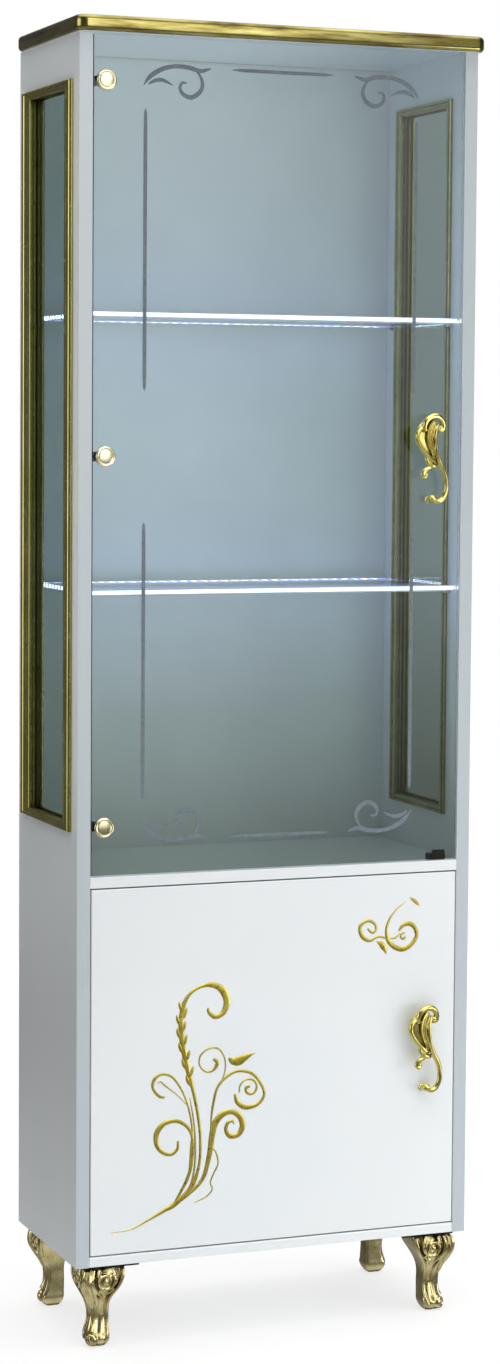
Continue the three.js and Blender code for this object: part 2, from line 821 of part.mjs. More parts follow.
// Hinge cup sunk in the door, with its flange on the inner face.
function hingeCup(z) {
  const { cup, depth, wall, flange, lip } = CUPBOARD_HINGE;
  const outside = cup - REST_GAP;
  const floor = -depth + REST_GAP;
  return turned(
    [
      [0, floor],
      [outside, floor],
      [outside, 0],
      [outside + flange, 0],
      [outside + flange, lip],
      [outside - wall, lip],
      [outside - wall, floor + wall],
      [0, floor + wall],
    ],
    [cupboardHingeX, DOOR_BACK, z],
    CUP_SIDES,
  );
}

// Hinge arm on its mounting plate, against the left side panel.
function hingeArm(z) {
  const arm = CUPBOARD_HINGE_ARM;
  const plate = CUPBOARD_HINGE_PLATE;
  return join(
    onLeftPanel(DOOR_BACK + arm.fromDoor, z, arm, arm.wide),
    onLeftPanel(DOOR_BACK + plate.fromDoor, z, plate, plate.thick),
  );
}

place("cupboard_door_panel", cupboardDoor(), LACQUER());
for (const [label, z] of Object.entries(CUPBOARD_HINGE_HEIGHTS)) {
  place(`cupboard_hinge_cup_${label}`, hingeCup(z), STEEL());
  place(`cupboard_hinge_arm_${label}`, hingeArm(z), STEEL());
}
placeHandle("cupboard_door_handle", FRONT, CUPBOARD_DOOR_THICK, HANDLE_HEIGHTS.cupboard);

place(
  "cupboard_door_catch",
  catchBlock(DOOR_BACK, MID_PANEL.bottom - CATCH.tall, CATCH.deepCupboard),
  WHITE_PLASTIC(),
);
place(
  "cupboard_door_strike",
  strikePlate(DOOR_BACK, CUPBOARD_DOOR.top - DOOR_GAP - STRIKE.tall, STRIKE.onDoor),
  STEEL(),
);

// ---------------------------------------------------------------- scroll inlays

// Strokes as [x, z, width], from the lower left corner of the cupboard door.
const LARGE_SCROLL = [
  [
    [31, 32, 1.5],
    [91, 47, 4],
    [130, 66, 9],
    [156, 90, 7],
    [167, 121, 5],
    [168, 158, 5],
    [157, 233, 6],
    [142, 292, 9],
    [138, 338, 8],
    [150, 374, 7],
    [184, 387, 5],
    [206, 374, 7],
    [205, 346, 7],
    [181, 350, 3],
  ],
  [
    [130, 68, 6],
    [156, 122, 6],
    [157, 166, 5],
    [129, 188, 6],
    [103, 176, 7],
    [103, 148, 6],
    [122, 139, 5],
    [134, 158, 3],
  ],
  [
    [151, 100, 4],
    [156, 174, 4],
    [141, 231, 4],
    [109, 260, 4],
    [94, 245, 4],
    [112, 225, 3],
  ],
  [
    [128, 64, 6],
    [173, 98, 6],
    [183, 134, 8],
    [190, 180, 9],
    [217, 196, 7],
    [236, 174, 7],
    [221, 157, 7],
    [211, 172, 5],
    [221, 180, 3],
  ],
  [
    [184, 140, 4],
    [188, 211, 4],
    [208, 248, 5],
    [250, 252, 5],
    [269, 214, 5],
    [239, 200, 7],
    [223, 224, 5],
  ],
  [
    [193, 228, 3],
    [206, 256, 2.5],
    [204, 276, 3],
    [190, 292, 3],
    [170, 275, 3],
    [186, 260, 3],
    [194, 272, 5],
  ],
  [
    [204, 254, 3],
    [216, 274, 7],
    [232, 274, 13],
    [253, 278, 1],
  ],
];

const SMALL_SCROLL = [
  [
    [494, 495, 3],
    [479, 483, 5],
    [468, 468, 5],
    [463, 450, 6],
    [467, 433, 7],
    [478, 425, 8],
    [492, 422, 7],
    [506, 430, 6],
    [514, 442, 6],
    [510, 454, 7],
    [500, 460, 8],
    [484, 454, 3],
  ],
  [
    [468, 436, 4],
    [450, 441, 5],
    [434, 437, 6],
    [422, 446, 6],
    [422, 461, 6],
    [434, 468, 6],
    [445, 462, 5],
    [446, 452, 4],
    [436, 450, 4],
  ],
  [
    [467, 440, 4],
    [459, 430, 12],
    [463, 418, 4],
  ],
];

// Strokes joined into one flat inlay on the door face.
function inlay(strokes) {
  const bodies = strokes.map((stations) => {
    const placed = stations.map(([x, z, width]) => [
      x - DOOR_EDGE,
      z + CUPBOARD_DOOR.bottom,
      width,
    ]);
    return stroke(placed, FRONT - INLAY_THICK, FRONT);
  });
  return join(...bodies);
}

place("scroll_inlay_large", inlay(LARGE_SCROLL), GOLD_LEAF());
place("scroll_inlay_small", inlay(SMALL_SCROLL), GOLD_LEAF());

export default root;
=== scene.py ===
import json
import math

import bmesh
import bpy
import numpy as np
from mathutils import Matrix, Vector


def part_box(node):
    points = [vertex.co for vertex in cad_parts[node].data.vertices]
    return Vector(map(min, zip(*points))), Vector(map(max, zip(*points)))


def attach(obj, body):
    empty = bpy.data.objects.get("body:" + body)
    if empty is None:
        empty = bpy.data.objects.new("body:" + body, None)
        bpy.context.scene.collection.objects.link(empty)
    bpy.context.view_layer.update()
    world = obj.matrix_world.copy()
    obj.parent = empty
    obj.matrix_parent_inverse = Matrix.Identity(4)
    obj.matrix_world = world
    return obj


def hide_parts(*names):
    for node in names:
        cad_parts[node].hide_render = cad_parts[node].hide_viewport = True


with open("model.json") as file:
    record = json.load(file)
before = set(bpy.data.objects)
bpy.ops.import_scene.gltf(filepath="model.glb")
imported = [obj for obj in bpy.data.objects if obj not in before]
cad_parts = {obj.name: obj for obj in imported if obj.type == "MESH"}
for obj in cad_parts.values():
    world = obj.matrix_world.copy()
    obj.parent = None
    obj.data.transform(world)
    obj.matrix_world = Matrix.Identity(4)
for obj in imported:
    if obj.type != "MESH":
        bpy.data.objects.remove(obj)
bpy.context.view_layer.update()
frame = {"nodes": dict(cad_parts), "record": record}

MM = 0.001


# ---- node helpers

class Tree:
    """A node tree, with short ways to add what this script needs."""

    def __init__(self, tree, output):
        self.nodes = tree.nodes
        self.links = tree.links
        self.output = tree.nodes[output]

    def give(self, socket, value):
        """Sets a socket to a constant, or links another node's output to it."""
        if isinstance(value, bpy.types.NodeSocket):
            self.links.new(value, socket)
        else:
            socket.default_value = value

    def node(self, kind, **sockets):
        """New node; the names of its sockets have _ for a space."""
        made = self.nodes.new("ShaderNode" + kind)
        for name, value in sockets.items():
            self.give(made.inputs[name.replace("_", " ")], value)
        return made

    def math(self, operation, a, b):
        made = self.node("Math")
        made.operation = operation
        self.give(made.inputs[0], a)
        self.give(made.inputs[1], b)
        return made.outputs["Value"]

    def spread(self, value, low, high, from_low=0.3, from_high=0.7):
        """Value stretched to run from low to high."""
        made = self.node("MapRange", Value=value, From_Min=from_low, From_Max=from_high,
                         To_Min=low, To_Max=high)
        return made.outputs["Result"]

    def ray(self, kind):
        """1 for rays of a kind and 0 for others."""
        return self.node("LightPath").outputs[f"Is {kind} Ray"]

    def end_in(self, share, first, second):
        """Shows the first shader, or the second one by its share."""
        blend = self.node("MixShader", Fac=share)
        self.give(blend.inputs[1], first)
        self.give(blend.inputs[2], second)
        self.give(self.output.inputs["Surface"], blend.outputs["Shader"])


class Surface(Tree):
    """A material's node tree round one Principled shader. Textures use object coordinates."""

    def __init__(self, name, **sockets):
        self.name = name
        self.material = bpy.data.materials.new(name)
        self.material.use_nodes = True
        super().__init__(self.material.node_tree, "Material Output")
        self.shader = self.nodes["Principled BSDF"]
        self.where = self.node("TexCoord").outputs["Object"]
        self.feed(**sockets)

    def feed(self, **sockets):
        """Gives the shader's sockets constants or textures."""
        for name, value in sockets.items():
            self.give(self.shader.inputs[name.replace("_", " ")], value)

    def noise(self, scale, detail=3.0, stretch=(1, 1, 1), rough=0.5):
        stretched = self.node("Mapping", Vector=self.where, Scale=stretch)
        texture = self.node("TexNoise", Vector=stretched.outputs["Vector"], Scale=scale,
                            Detail=detail, Roughness=rough)
        return texture.outputs["Fac"]

    def place(self):
        """The object's own x, y and z."""
        return self.node("SeparateXYZ", Vector=self.where).outputs

    def facing_front(self):
        """How squarely the surface faces the cabinet's front: 1 straight on, 0 at right angles."""
        normal = self.node("TexCoord").outputs["Normal"]
        return self.math("MULTIPLY", self.node("SeparateXYZ", Vector=normal).outputs["Y"], -1.0)

    def ramp(self, value, *stops):
        """Colour for a value: stops are (place, (r, g, b))."""
        made = self.node("ValToRGB", Fac=value)
        elements = made.color_ramp.elements
        while len(elements) < len(stops):
            elements.new(0.5)
        for element, (place, color) in zip(elements, stops):
            element.position = place
            element.color = (*color, 1)
        return made.outputs["Color"]

    def mix(self, share, color_a, color_b, blend="MIX"):
        made = self.node("Mix")
        made.data_type = "RGBA"
        made.blend_type = blend
        for name, value in (("Factor", share), ("A", color_a), ("B", color_b)):
            socket = next(s for s in made.inputs if s.name == name and s.enabled)
            self.give(socket, (*value, 1) if isinstance(value, tuple) else value)
        return next(s for s in made.outputs if s.enabled)

    def bump(self, height, distance, strength=1.0, under=None):
        made = self.node("Bump", Height=height, Distance=distance, Strength=strength)
        if under is not None:
            self.give(made.inputs["Normal"], under)
        return made.outputs["Normal"]

    def recess(self, reach):
        """1 in the open and 0 deep in a crevice narrower than reach."""
        made = self.node("AmbientOcclusion", Distance=reach)
        made.samples = 8
        return made.outputs["AO"]

    def clear_to_shadows(self):
        """Lets light through: shadow rays pass straight through the glass, tinted."""
        tint = self.shader.inputs["Base Color"].default_value
        clear = self.node("BsdfTransparent", Color=tint)
        self.end_in(self.ray("Shadow"), self.shader.outputs["BSDF"], clear.outputs["BSDF"])

    def white_to_camera(self, share):
        """Lifts what the camera sees of the surface towards white, without lighting anything."""
        lifted = self.math("MULTIPLY", self.ray("Camera"), share)
        white = self.node("Emission").outputs["Emission"]
        self.end_in(lifted, self.shader.outputs["BSDF"], white)


# ---- materials

# Height in metres at which the smoked glass has its upper tint; below it the tint deepens, as painted
# shade over the lower part of the cabinet.
SHADE_BELOW = 1.15
# How far in metres the painted glow near a shelf's lit edges reaches into its glass.
GLOW_REACH = 0.1


def white_lacquer(name="white_lacquer", front_shade=None):
    """High-gloss lacquer; a side panel's front-facing edge gets a darker tone of painted shade."""
    s = Surface(name, Roughness=0.32, Coat_Weight=0.9, Coat_Roughness=0.03)
    cloud = s.noise(3.5, detail=2)
    color = s.ramp(cloud, (0.35, (0.80, 0.84, 0.86)), (0.7, (0.84, 0.87, 0.88)))
    if front_shade:
        # Painted shade: faces that look to the front take the darker tone.
        color = s.mix(s.spread(s.facing_front(), 0.0, 1.0, 0.6, 0.9), color, front_shade)
    wave = s.bump(s.noise(9, detail=1), 0.0008, 0.25)
    peel = s.bump(s.noise(260, detail=1), 0.00002, 0.2, wave)
    s.feed(Base_Color=color, Normal=peel, Roughness=s.spread(s.noise(6), 0.28, 0.36))
    return s


def back_board():
    s = Surface("back_board", Specular_IOR_Level=0.3)
    cloud = s.noise(7, detail=6, rough=0.65)
    s.feed(Base_Color=s.ramp(cloud, (0.3, (0.78, 0.81, 0.79)), (0.7, (0.85, 0.88, 0.86))),
           Roughness=s.spread(s.noise(60), 0.45, 0.65),
           Normal=s.bump(s.noise(500, detail=2), 0.00004, 0.2))
    return s


def gold(name, dark, light, roughness, shade_reach=0.0, grain=250):
    """Metal whose tone wanders between two golds, darkened by painted shade in its recesses if it has
    a reach for them; on the antique gold this stands also for patina in the hollows.
    """
    s = Surface(name, Metallic=1.0)
    color = s.ramp(s.noise(grain / 6, detail=3), (0.3, dark), (0.7, light))
    rough = s.spread(s.noise(grain, detail=2), *roughness)
    if shade_reach:
        # Painted shade: the colour darkens in recesses narrower than the reach; on the antique gold
        # it stands also for patina in the hollows.
        open_share = s.spread(s.recess(shade_reach), 0.0, 1.0, 0.35, 0.9)
        shade = s.ramp(open_share, (0.0, (0.16, 0.11, 0.03)), (0.75, (1, 1, 1)))
        color = s.mix(1.0, color, shade, "MULTIPLY")
        rough = s.math("ADD", rough, s.spread(open_share, 0.25, 0.0, 0.0, 0.8))
    s.feed(Base_Color=color, Roughness=rough,
           Normal=s.bump(s.noise(grain, detail=2), 0.00004, 0.2))
    return s


def glass(name, tint, foot=None):
    """Tinted glass; foot, if given, is a deeper tint at the bottom of the door's pane, painted shade
    for the darker lower part of the cabinet.
    """
    s = Surface(name, Base_Color=(*tint, 1), Transmission_Weight=1.0, IOR=1.45)
    s.clear_to_shadows()
    if foot:
        # Painted shade: the tint deepens below a set height, down to the bottom of the door's pane.
        pane_low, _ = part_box("glass_door_pane")
        cloud = s.spread(s.noise(3), -0.03, 0.03)
        height = s.math("ADD", s.spread(s.place()["Z"], 0, 1, pane_low.z, SHADE_BELOW), cloud)
        s.feed(Base_Color=s.ramp(height, (0.0, foot), (1.0, tint)))
    s.feed(Roughness=s.spread(s.noise(5, detail=4), 0.0, 0.02))
    return s


def etched():
    s = Surface("etched_border", Specular_IOR_Level=0.3)
    s.feed(Base_Color=s.ramp(s.noise(300), (0.3, (0.12, 0.15, 0.17)), (0.7, (0.2, 0.24, 0.27))),
           Roughness=s.spread(s.noise(200), 0.5, 0.8),
           Normal=s.bump(s.noise(1800), 0.00005, 0.6))
    return s


def metal(name, dark, light, roughness, stretch=(1, 1, 1)):
    s = Surface(name, Metallic=1.0)
    grain = s.noise(260, detail=4, stretch=stretch)
    s.feed(Base_Color=s.ramp(grain, (0.3, dark), (0.7, light)),
           Roughness=s.spread(grain, *roughness),
           Normal=s.bump(grain, 0.00005, 0.3))
    return s


def moulded(name, dark, light, roughness):
    s = Surface(name)
    s.feed(Base_Color=s.ramp(s.noise(35), (0.3, dark), (0.7, light)),
           Roughness=s.spread(s.noise(400), *roughness),
           Normal=s.bump(s.noise(1500, detail=1), 0.00006, 0.5))
    return s


def felt():
    s = Surface("felt", Sheen_Weight=0.4)
    fibres = s.noise(2200, detail=3)
    s.feed(Base_Color=s.ramp(fibres, (0.3, (0.05, 0.04, 0.03)), (0.7, (0.12, 0.1, 0.08))),
           Roughness=s.spread(fibres, 0.85, 1.0),
           Normal=s.bump(fibres, 0.0003, 0.8))
    return s


def glow(name, color, strength):
    """A lit diffuser or chip."""
    s = Surface(name, Roughness=0.4, Emission_Strength=strength, Base_Color=(0.8, 0.85, 0.9, 1))
    dimmer = tuple(0.85 * c for c in color)
    s.feed(Emission_Color=s.ramp(s.noise(500, detail=1), (0.3, dimmer), (0.7, color)))
    return s


def cornice_gold():
    """Bright rolled brass, with long darker bands along it that are painted reflections."""
    s = Surface("gold_cornice", Metallic=1.0)
    reflection_streaks = s.noise(7, detail=4, stretch=(1, 1, 9), rough=0.6)
    # Painted reflection: the long dark and brown bands in the colour.
    tone = s.ramp(reflection_streaks, (0.34, (0.1, 0.07, 0.02)), (0.45, (0.24, 0.2, 0.06)),
                  (0.62, (0.42, 0.38, 0.14)))
    s.feed(Base_Color=tone, Roughness=s.spread(reflection_streaks, 0.22, 0.08),
           Normal=s.bump(s.noise(14, detail=1, stretch=(1, 1, 4)), 0.0004, 0.35))
    return s


def painted_glow_glass(name, tint, painted_glow_color, strength):
    """Glass with a painted glow near its front and rear edges, in place of the light of its lit edges
    carried a little way in.
    """
    s = glass(name, tint)
    low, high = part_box("glass_shelf_upper")
    depth = s.place()["Y"]
    front = s.spread(depth, 1.0, 0.0, low.y, low.y + GLOW_REACH)
    rear = s.spread(depth, 1.0, 0.0, high.y, high.y - GLOW_REACH)
    near = s.math("ADD", front, rear)
    # Painted glow: emission in the glass near its front and rear edges.
    pale = tuple(0.35 * c for c in painted_glow_color)
    s.feed(Emission_Color=s.ramp(near, (0.0, (0, 0, 0)), (0.5, pale), (1.0, painted_glow_color)),
           Emission_Strength=strength)
    return s


LOOKS = {surface.name: surface.material for surface in [
    white_lacquer(),
    # Side panel lacquer with painted shade on its front-facing edge.
    white_lacquer("side_lacquer_shaded_front", front_shade=(0.5, 0.56, 0.59)),
    back_board(),
    cornice_gold(),
    # Each gold's fifth value is the reach of its painted shade in recesses.
    gold("gold_moulding", (0.46, 0.42, 0.13), (0.62, 0.57, 0.22), (0.16, 0.28), 0.014, 60),
    # A darker copy of the moulding gold, as painted shade for the mouldings inside the cabinet.
    gold("shaded_inner_moulding", (0.34, 0.33, 0.15), (0.5, 0.48, 0.25), (0.12, 0.22), 0.018, 60),
    gold("polished_gold", (0.6, 0.5, 0.13), (0.8, 0.7, 0.26), (0.08, 0.22), 0.006),
    gold("cap_gold", (0.76, 0.7, 0.42), (0.92, 0.86, 0.58), (0.1, 0.24), 0.005),
    gold("antique_gold", (0.5, 0.42, 0.17), (0.86, 0.76, 0.42), (0.12, 0.28), 0.007),
    gold("gold_leaf", (0.5, 0.4, 0.05), (0.72, 0.6, 0.12), (0.25, 0.45)),
    # The third colour of each glass is the deeper tint of painted shade at its foot.
    glass("smoked_glass", (0.83, 0.91, 0.92), (0.43, 0.455, 0.395)),
    glass("window_glass", (0.42, 0.52, 0.49), (0.3, 0.36, 0.31)),
    painted_glow_glass("shelf_glass", (0.8, 0.87, 0.98), (0.42, 0.44, 1.0), 0.42),
    etched(),
    glow("led_strip", (0.86, 0.86, 1.0), 1.3),
    glow("led_dots", (0.9, 0.93, 1.0), 10.0),
    metal("led_profile", (0.5, 0.52, 0.55), (0.7, 0.72, 0.76), (0.25, 0.4), (1, 9, 9)),
    metal("steel_fittings", (0.45, 0.46, 0.48), (0.68, 0.69, 0.71), (0.18, 0.35)),
    metal("dark_metal", (0.012, 0.012, 0.013), (0.035, 0.034, 0.033), (0.35, 0.6)),
    moulded("white_plastic", (0.66, 0.67, 0.67), (0.76, 0.77, 0.77), (0.4, 0.55)),
    moulded("black_plastic", (0.015, 0.015, 0.016), (0.03, 0.03, 0.032), (0.35, 0.6)),
    felt(),
]}


def look_of(node, slot):
    """The side panels get painted shade on their front-facing edges, and their window panes are
    darker than the door's glass.
    """
    if node.startswith("side_panel"):
        return "side_lacquer_shaded_front"
    return "window_glass" if node.startswith("window_pane") else slot


def dress_frame():
    for row in frame["record"]["subparts"]:
        node = frame["nodes"][row["node"]]
        node.data.materials.clear()
        node.data.materials.append(LOOKS[look_of(row["node"], row["material_slot"])])


dress_frame()


# ---- shapes, in millimetres

class Shape:
    """Vertices and faces of closed bodies, gathered before they become one piece."""

    def __init__(self):
        self.vertices = []
        self.faces = []

    def add(self, vertices, faces):
        start = len(self.vertices)
        self.vertices += [tuple(v) for v in vertices]
        self.faces += [tuple(start + i for i in face) for face in faces]
        return self

    def join(self, other):
        return self.add(other.vertices, other.faces)

    def moved(self, matrix):
        return Shape().add([matrix @ Vector(v) for v in self.vertices], self.faces)


def curve(stations, per=6):
    """Smooth rows through the stations, whatever their columns mean."""
    rows = np.array(stations, float)
    ends = np.vstack([2 * rows[0] - rows[1], rows, 2 * rows[-1] - rows[-2]])
    smooth = []
    for a, b, c, d in zip(ends, ends[1:], ends[2:], ends[3:]):
        bend, twist = 2 * a - 5 * b + 4 * c - d, 3 * b - a - 3 * c + d
        for t in np.arange(per) / per:
            smooth.append(b + ((c - a) * t + bend * t**2 + twist * t**3) / 2)
    smooth.append(rows[-1])
    return np.array(smooth)


def circle(count):
    angles = np.linspace(0, 2 * math.pi, count, endpoint=False)
    return [(math.cos(a), math.sin(a)) for a in angles]


ROUND = circle(16)
DOME = [(-1, 0), (-0.85, 0.55), (-0.45, 0.9), (0, 1), (0.45, 0.9), (0.85, 0.55), (1, 0)]
LEAF = [
    (-1, 0), (-0.97, 0.5), (-0.82, 0.92), (-0.6, 0.8), (-0.34, 0.34), (-0.12, 0.32), (0, 0.62),
    (0.12, 0.32), (0.34, 0.34), (0.6, 0.8), (0.82, 0.92), (0.97, 0.5), (1, 0), (0.6, -0.5),
    (-0.6, -0.5),
]


def skin(loops, closed=False):
    """Body through a row of loops, capped at its ends unless the row closes on itself."""
    count, size = len(loops), len(loops[0])
    faces = []
    for i in range(count if closed else count - 1):
        here, there = i * size, ((i + 1) % count) * size
        for j in range(size):
            k = (j + 1) % size
            faces.append((here + j, there + j, there + k, here + k))
    if not closed:
        faces.append(tuple(range(size)))
        faces.append(tuple(range((count - 1) * size, count * size)))
    return Shape().add([v for loop in loops for v in loop], faces)


def strap(stations, profile=ROUND, facing=(0, -1, 0), per=6):
    """Body along a curve. Stations are x, y, z, half width, height; the profile's own axes run
    across the curve and out along facing."""
    rows = curve(stations, per)
    centres = rows[:, :3]
    loops = []
    for centre, tangent, (half, height) in zip(centres, np.gradient(centres, axis=0), rows[:, 3:5]):
        side = np.cross(tangent, facing)
        side /= np.linalg.norm(side)
        out = np.cross(side, tangent / np.linalg.norm(tangent))
        across, rise = side * max(half, 0.05), out * max(height, 0.05)
        loops.append([centre + across * s + rise * h for s, h in profile])
    return skin(loops)


def turned(profile, centre, axis="y", steps=48):
    """Profile of (radius, place along the axis), turned about the axis through centre."""
    place = {
        "x": lambda c, s, r, t: (t, r * c, r * s),
        "y": lambda c, s, r, t: (r * c, t, r * s),
        "z": lambda c, s, r, t: (r * c, r * s, t),
    }[axis]
    loops = [
        [Vector(place(c, s, max(r, 1e-4), t)) + Vector(centre) for r, t in profile]
        for c, s in circle(steps)
    ]
    return skin(loops, closed=True)


def prism(outline, y0, y1, radius, segments):
    """Outline of (x, z) points, extruded along y, with rounded edges."""
    solid = bmesh.new()
    ends = [[solid.verts.new((x, y, z)) for x, z in outline] for y in (y0, y1)]
    solid.faces.new(ends[0])
    solid.faces.new(reversed(ends[1]))
    for i in range(len(outline)):
        j = (i + 1) % len(outline)
        solid.faces.new((ends[0][i], ends[1][i], ends[1][j], ends[0][j]))
    bmesh.ops.recalc_face_normals(solid, faces=solid.faces[:])
    bmesh.ops.bevel(solid, geom=solid.edges[:], offset=radius, segments=segments, profile=0.5,
                    affect="EDGES")
    solid.verts.index_update()
    made = Shape().add([v.co.copy() for v in solid.verts],
                       [[v.index for v in f.verts] for f in solid.faces])
    solid.free()
    return made


def block(low, high, radius, segments=3):
    """Box with rounded edges."""
    (x0, y0, z0), (x1, y1, z1) = low, high
    return prism([(x0, z0), (x1, z0), (x1, z1), (x0, z1)], y0, y1, radius, segments)


# ---- pieces

def put(name, data):
    """New object in the scene."""
    made = bpy.data.objects.new(name, data)
    bpy.context.scene.collection.objects.link(made)
    return made


def to_mesh(name, shape):
    """Mesh of a shape in metres, its bodies closed and facing out."""
    mesh = bpy.data.meshes.new(name)
    mesh.from_pydata([tuple(MM * c for c in v) for v in shape.vertices], [], shape.faces)
    work = bmesh.new()
    work.from_mesh(mesh)
    bmesh.ops.remove_doubles(work, verts=work.verts[:], dist=1e-6)
    bmesh.ops.recalc_face_normals(work, faces=work.faces[:])
    work.to_mesh(mesh)
    work.free()
    return mesh


def piece(name, source, slot, body="carcass", replaces=(), look=None, sharp=35):
    """Adds a piece of the object from a shape or a finished mesh."""
    mesh = to_mesh(name, source) if isinstance(source, Shape) else source
    mesh.polygons.foreach_set("use_smooth", [True] * len(mesh.polygons))
    mesh.set_sharp_from_angle(angle=math.radians(sharp))
    mesh.materials.clear()
    mesh.materials.append(LOOKS[look or slot])
    made = put(name, mesh)
    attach(made, body)
    if replaces:
        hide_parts(*replaces)


def cast(shape, voxel, rounds):
    """One skin over all the shape's bodies, with its joints melted together."""
    made = put("casting", to_mesh("casting", shape))
    fuse = made.modifiers.new("fuse", "REMESH")
    fuse.mode = "VOXEL"
    fuse.voxel_size = voxel * MM
    melt = made.modifiers.new("melt", "SMOOTH")
    melt.factor = 0.5
    melt.iterations = rounds
    shown = made.evaluated_get(bpy.context.evaluated_depsgraph_get())
    mesh = bpy.data.meshes.new_from_object(shown)
    bpy.data.objects.remove(made)
    return mesh


def carried(mesh, matrix):
    """Copy of a mesh carried by a matrix, facing out even if the matrix mirrors."""
    copy = mesh.copy()
    copy.transform(matrix)
    if matrix.determinant() < 0:
        copy.flip_normals()
    return copy


def soften(width, *nodes):
    """Fine rounding along the edges of CAD nodes."""
    for name in nodes:
        node = frame["nodes"][name]
        node.modifiers.new("weld", "WELD").merge_threshold = 1e-5
        flat = node.modifiers.new("flat", "DECIMATE")
        flat.decimate_type = "DISSOLVE"
        flat.angle_limit = math.radians(1)
        edge = node.modifiers.new("edge", "BEVEL")
        edge.width = width * MM
        edge.segments = 3
        edge.angle_limit = math.radians(40)


def soften_frame():
    soften(2.0, "side_panel_left", "side_panel_right", "mid_panel", "bottom_panel",
           "cupboard_door_panel", "cupboard_shelf")
    soften(0.6, "back_panel", "glass_door_pane", "glass_shelf_upper", "glass_shelf_lower")
    soften(0.4, "window_pane_left", "window_pane_right", "led_cable_duct", "cable_grommet")


def cad_box_of(node):
    """A CAD node's box in millimetres."""
    low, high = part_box(node)
    return low / MM, high / MM


# ---- cornice and top board

CORNICE_WALL = 6
CORNICE_EDGE = 7
CORNICE_CORNER = 18
BOARD_GAP = 0.3
BOARD_EDGE = 0.6


def rounded_outline(half, front, back, corner, steps=8):
    """Points round a rounded rectangle, with the way out at each."""
    points = []
    for x, y, start in ((half, front, -90), (half, back, 0), (-half, back, 90), (-half, front, 180)):
        middle = Vector((x - math.copysign(corner, x), y - math.copysign(corner, y), 0))
        for angle in np.radians(np.linspace(start, start + 90, steps + 1)):
            out = Vector((math.cos(angle), math.sin(angle), 0))
            points.append((middle + corner * out, out))
    return points


def swept(section, outline, foot):
    """The section of (inset, rise) at each point of the outline, over the height of its foot."""
    return [
        [point - out * inset + Vector((0, 0, foot + rise)) for inset, rise in section]
        for point, out in outline
    ]


def cornice():
    """The gold band, and the lacquered board inside it."""
    low, high = cad_box_of("cornice_trim")
    tall = high.z - low.z
    outline = rounded_outline(high.x, low.y, high.y, CORNICE_CORNER)
    turns = np.linspace(0, math.pi / 2, 7)
    lower = [(CORNICE_WALL * (1 - math.sin(a)), CORNICE_EDGE * (1 - math.cos(a))) for a in turns]
    section = lower + [(inset, tall - rise) for inset, rise in reversed(lower)]
    band = skin(swept(section, outline, low.z), closed=True)
    piece("cornice_band", band, "gold_cornice", replaces=["cornice_trim"])
    inset = CORNICE_WALL + BOARD_GAP
    edge = [(inset + BOARD_EDGE, 0), (inset, BOARD_EDGE), (inset, tall - BOARD_EDGE),
            (inset + BOARD_EDGE, tall)]
    board = skin(list(zip(*swept(edge, outline, low.z))))
    piece("top_board_lacquered", board, "white_lacquer", replaces=["top_board"])


# ---- side window mouldings

# Section of the moulding: share of the way from its outer edge to the opening, and share of
# its height over the panel.
MOULDING = [
    (0.0, 0.0), (0.0, 0.35), (0.02, 0.62), (0.06, 0.86), (0.12, 0.98), (0.18, 1.0), (0.24, 0.96),
    (0.3, 0.84), (0.33, 0.7), (0.36, 0.7), (0.37, 0.6), (0.45, 0.44), (0.55, 0.34), (0.66, 0.3),
    (0.76, 0.33), (0.8, 0.42), (0.84, 0.52), (0.9, 0.56), (0.96, 0.5), (1.0, 0.36), (1.0, 0.0),
]
# How far the pane reaches past the opening.
WINDOW_LAP = 3.7
# Section of the stop between the moulding and the pane: share of the depth, and how far it
# steps back from the opening.
STOP = [
    (0.0, 0.6), (0.12, 0.0), (0.24, 0.5), (0.3, 2.4), (0.52, 2.4), (0.56, 1.0), (0.66, 0.4),
    (0.78, 0.4), (0.86, 1.4), (1.0, 1.8), (1.0, WINDOW_LAP), (0.0, WINDOW_LAP),
]


def window_moulding(side, where):
    """Mitred moulding round one face of a window, and the stop that holds the pane."""
    node = f"window_frame_{where}_{side}"
    low, high = cad_box_of(node)
    pane_low, pane_high = cad_box_of(f"window_pane_{side}")
    panel = sorted(cad_box_of(f"side_panel_{side}"), key=lambda corner: abs(corner.x))
    face = panel[where == "outer"].x
    outward = 1 if (high.x > 0) == (where == "outer") else -1
    proud = (high.x - face) if outward > 0 else (face - low.x)
    behind = (pane_high.x if outward > 0 else pane_low.x) - face
    lap = Vector((0, WINDOW_LAP, WINDOW_LAP))
    ends, opening = (low, high), (pane_low + lap, pane_high - lap)
    mould, stop = [], []
    for i, j in ((0, 0), (1, 0), (1, 1), (0, 1)):
        outer = Vector((face, ends[i].y, ends[j].z))
        inner = Vector((face, opening[i].y, opening[j].z))
        back = Vector((0, 2 * i - 1, 2 * j - 1))
        mould.append([
            outer + (inner - outer) * share + Vector((outward * proud * rise, 0, 0))
            for share, rise in MOULDING
        ])
        stop.append([
            inner + back * step + Vector((behind * share, 0, 0)) for share, step in STOP
        ])
    shape = skin(mould, closed=True).join(skin(stop, closed=True))
    # The inner mouldings take the darker gold of painted shade.
    look = "shaded_inner_moulding" if where == "inner" else None
    piece(f"window_moulding_{where}_{side}", shape, "gold_moulding", replaces=[node], look=look)


# ---- handles

BALL_SMALL = [(0, -4.4), (3.1, -3.1), (4.4, 0), (3.1, 3.1), (0, 4.4)]
BALL_LARGE = [(0, -6.2), (3.4, -5.2), (5.6, -2.6), (6.2, 0), (5.6, 2.6), (3.4, 5.2), (0, 6.2)]
# Where the handle's own x = 0 lies, in from the right edge of its CAD solid.
HANDLE_AXIS = 33


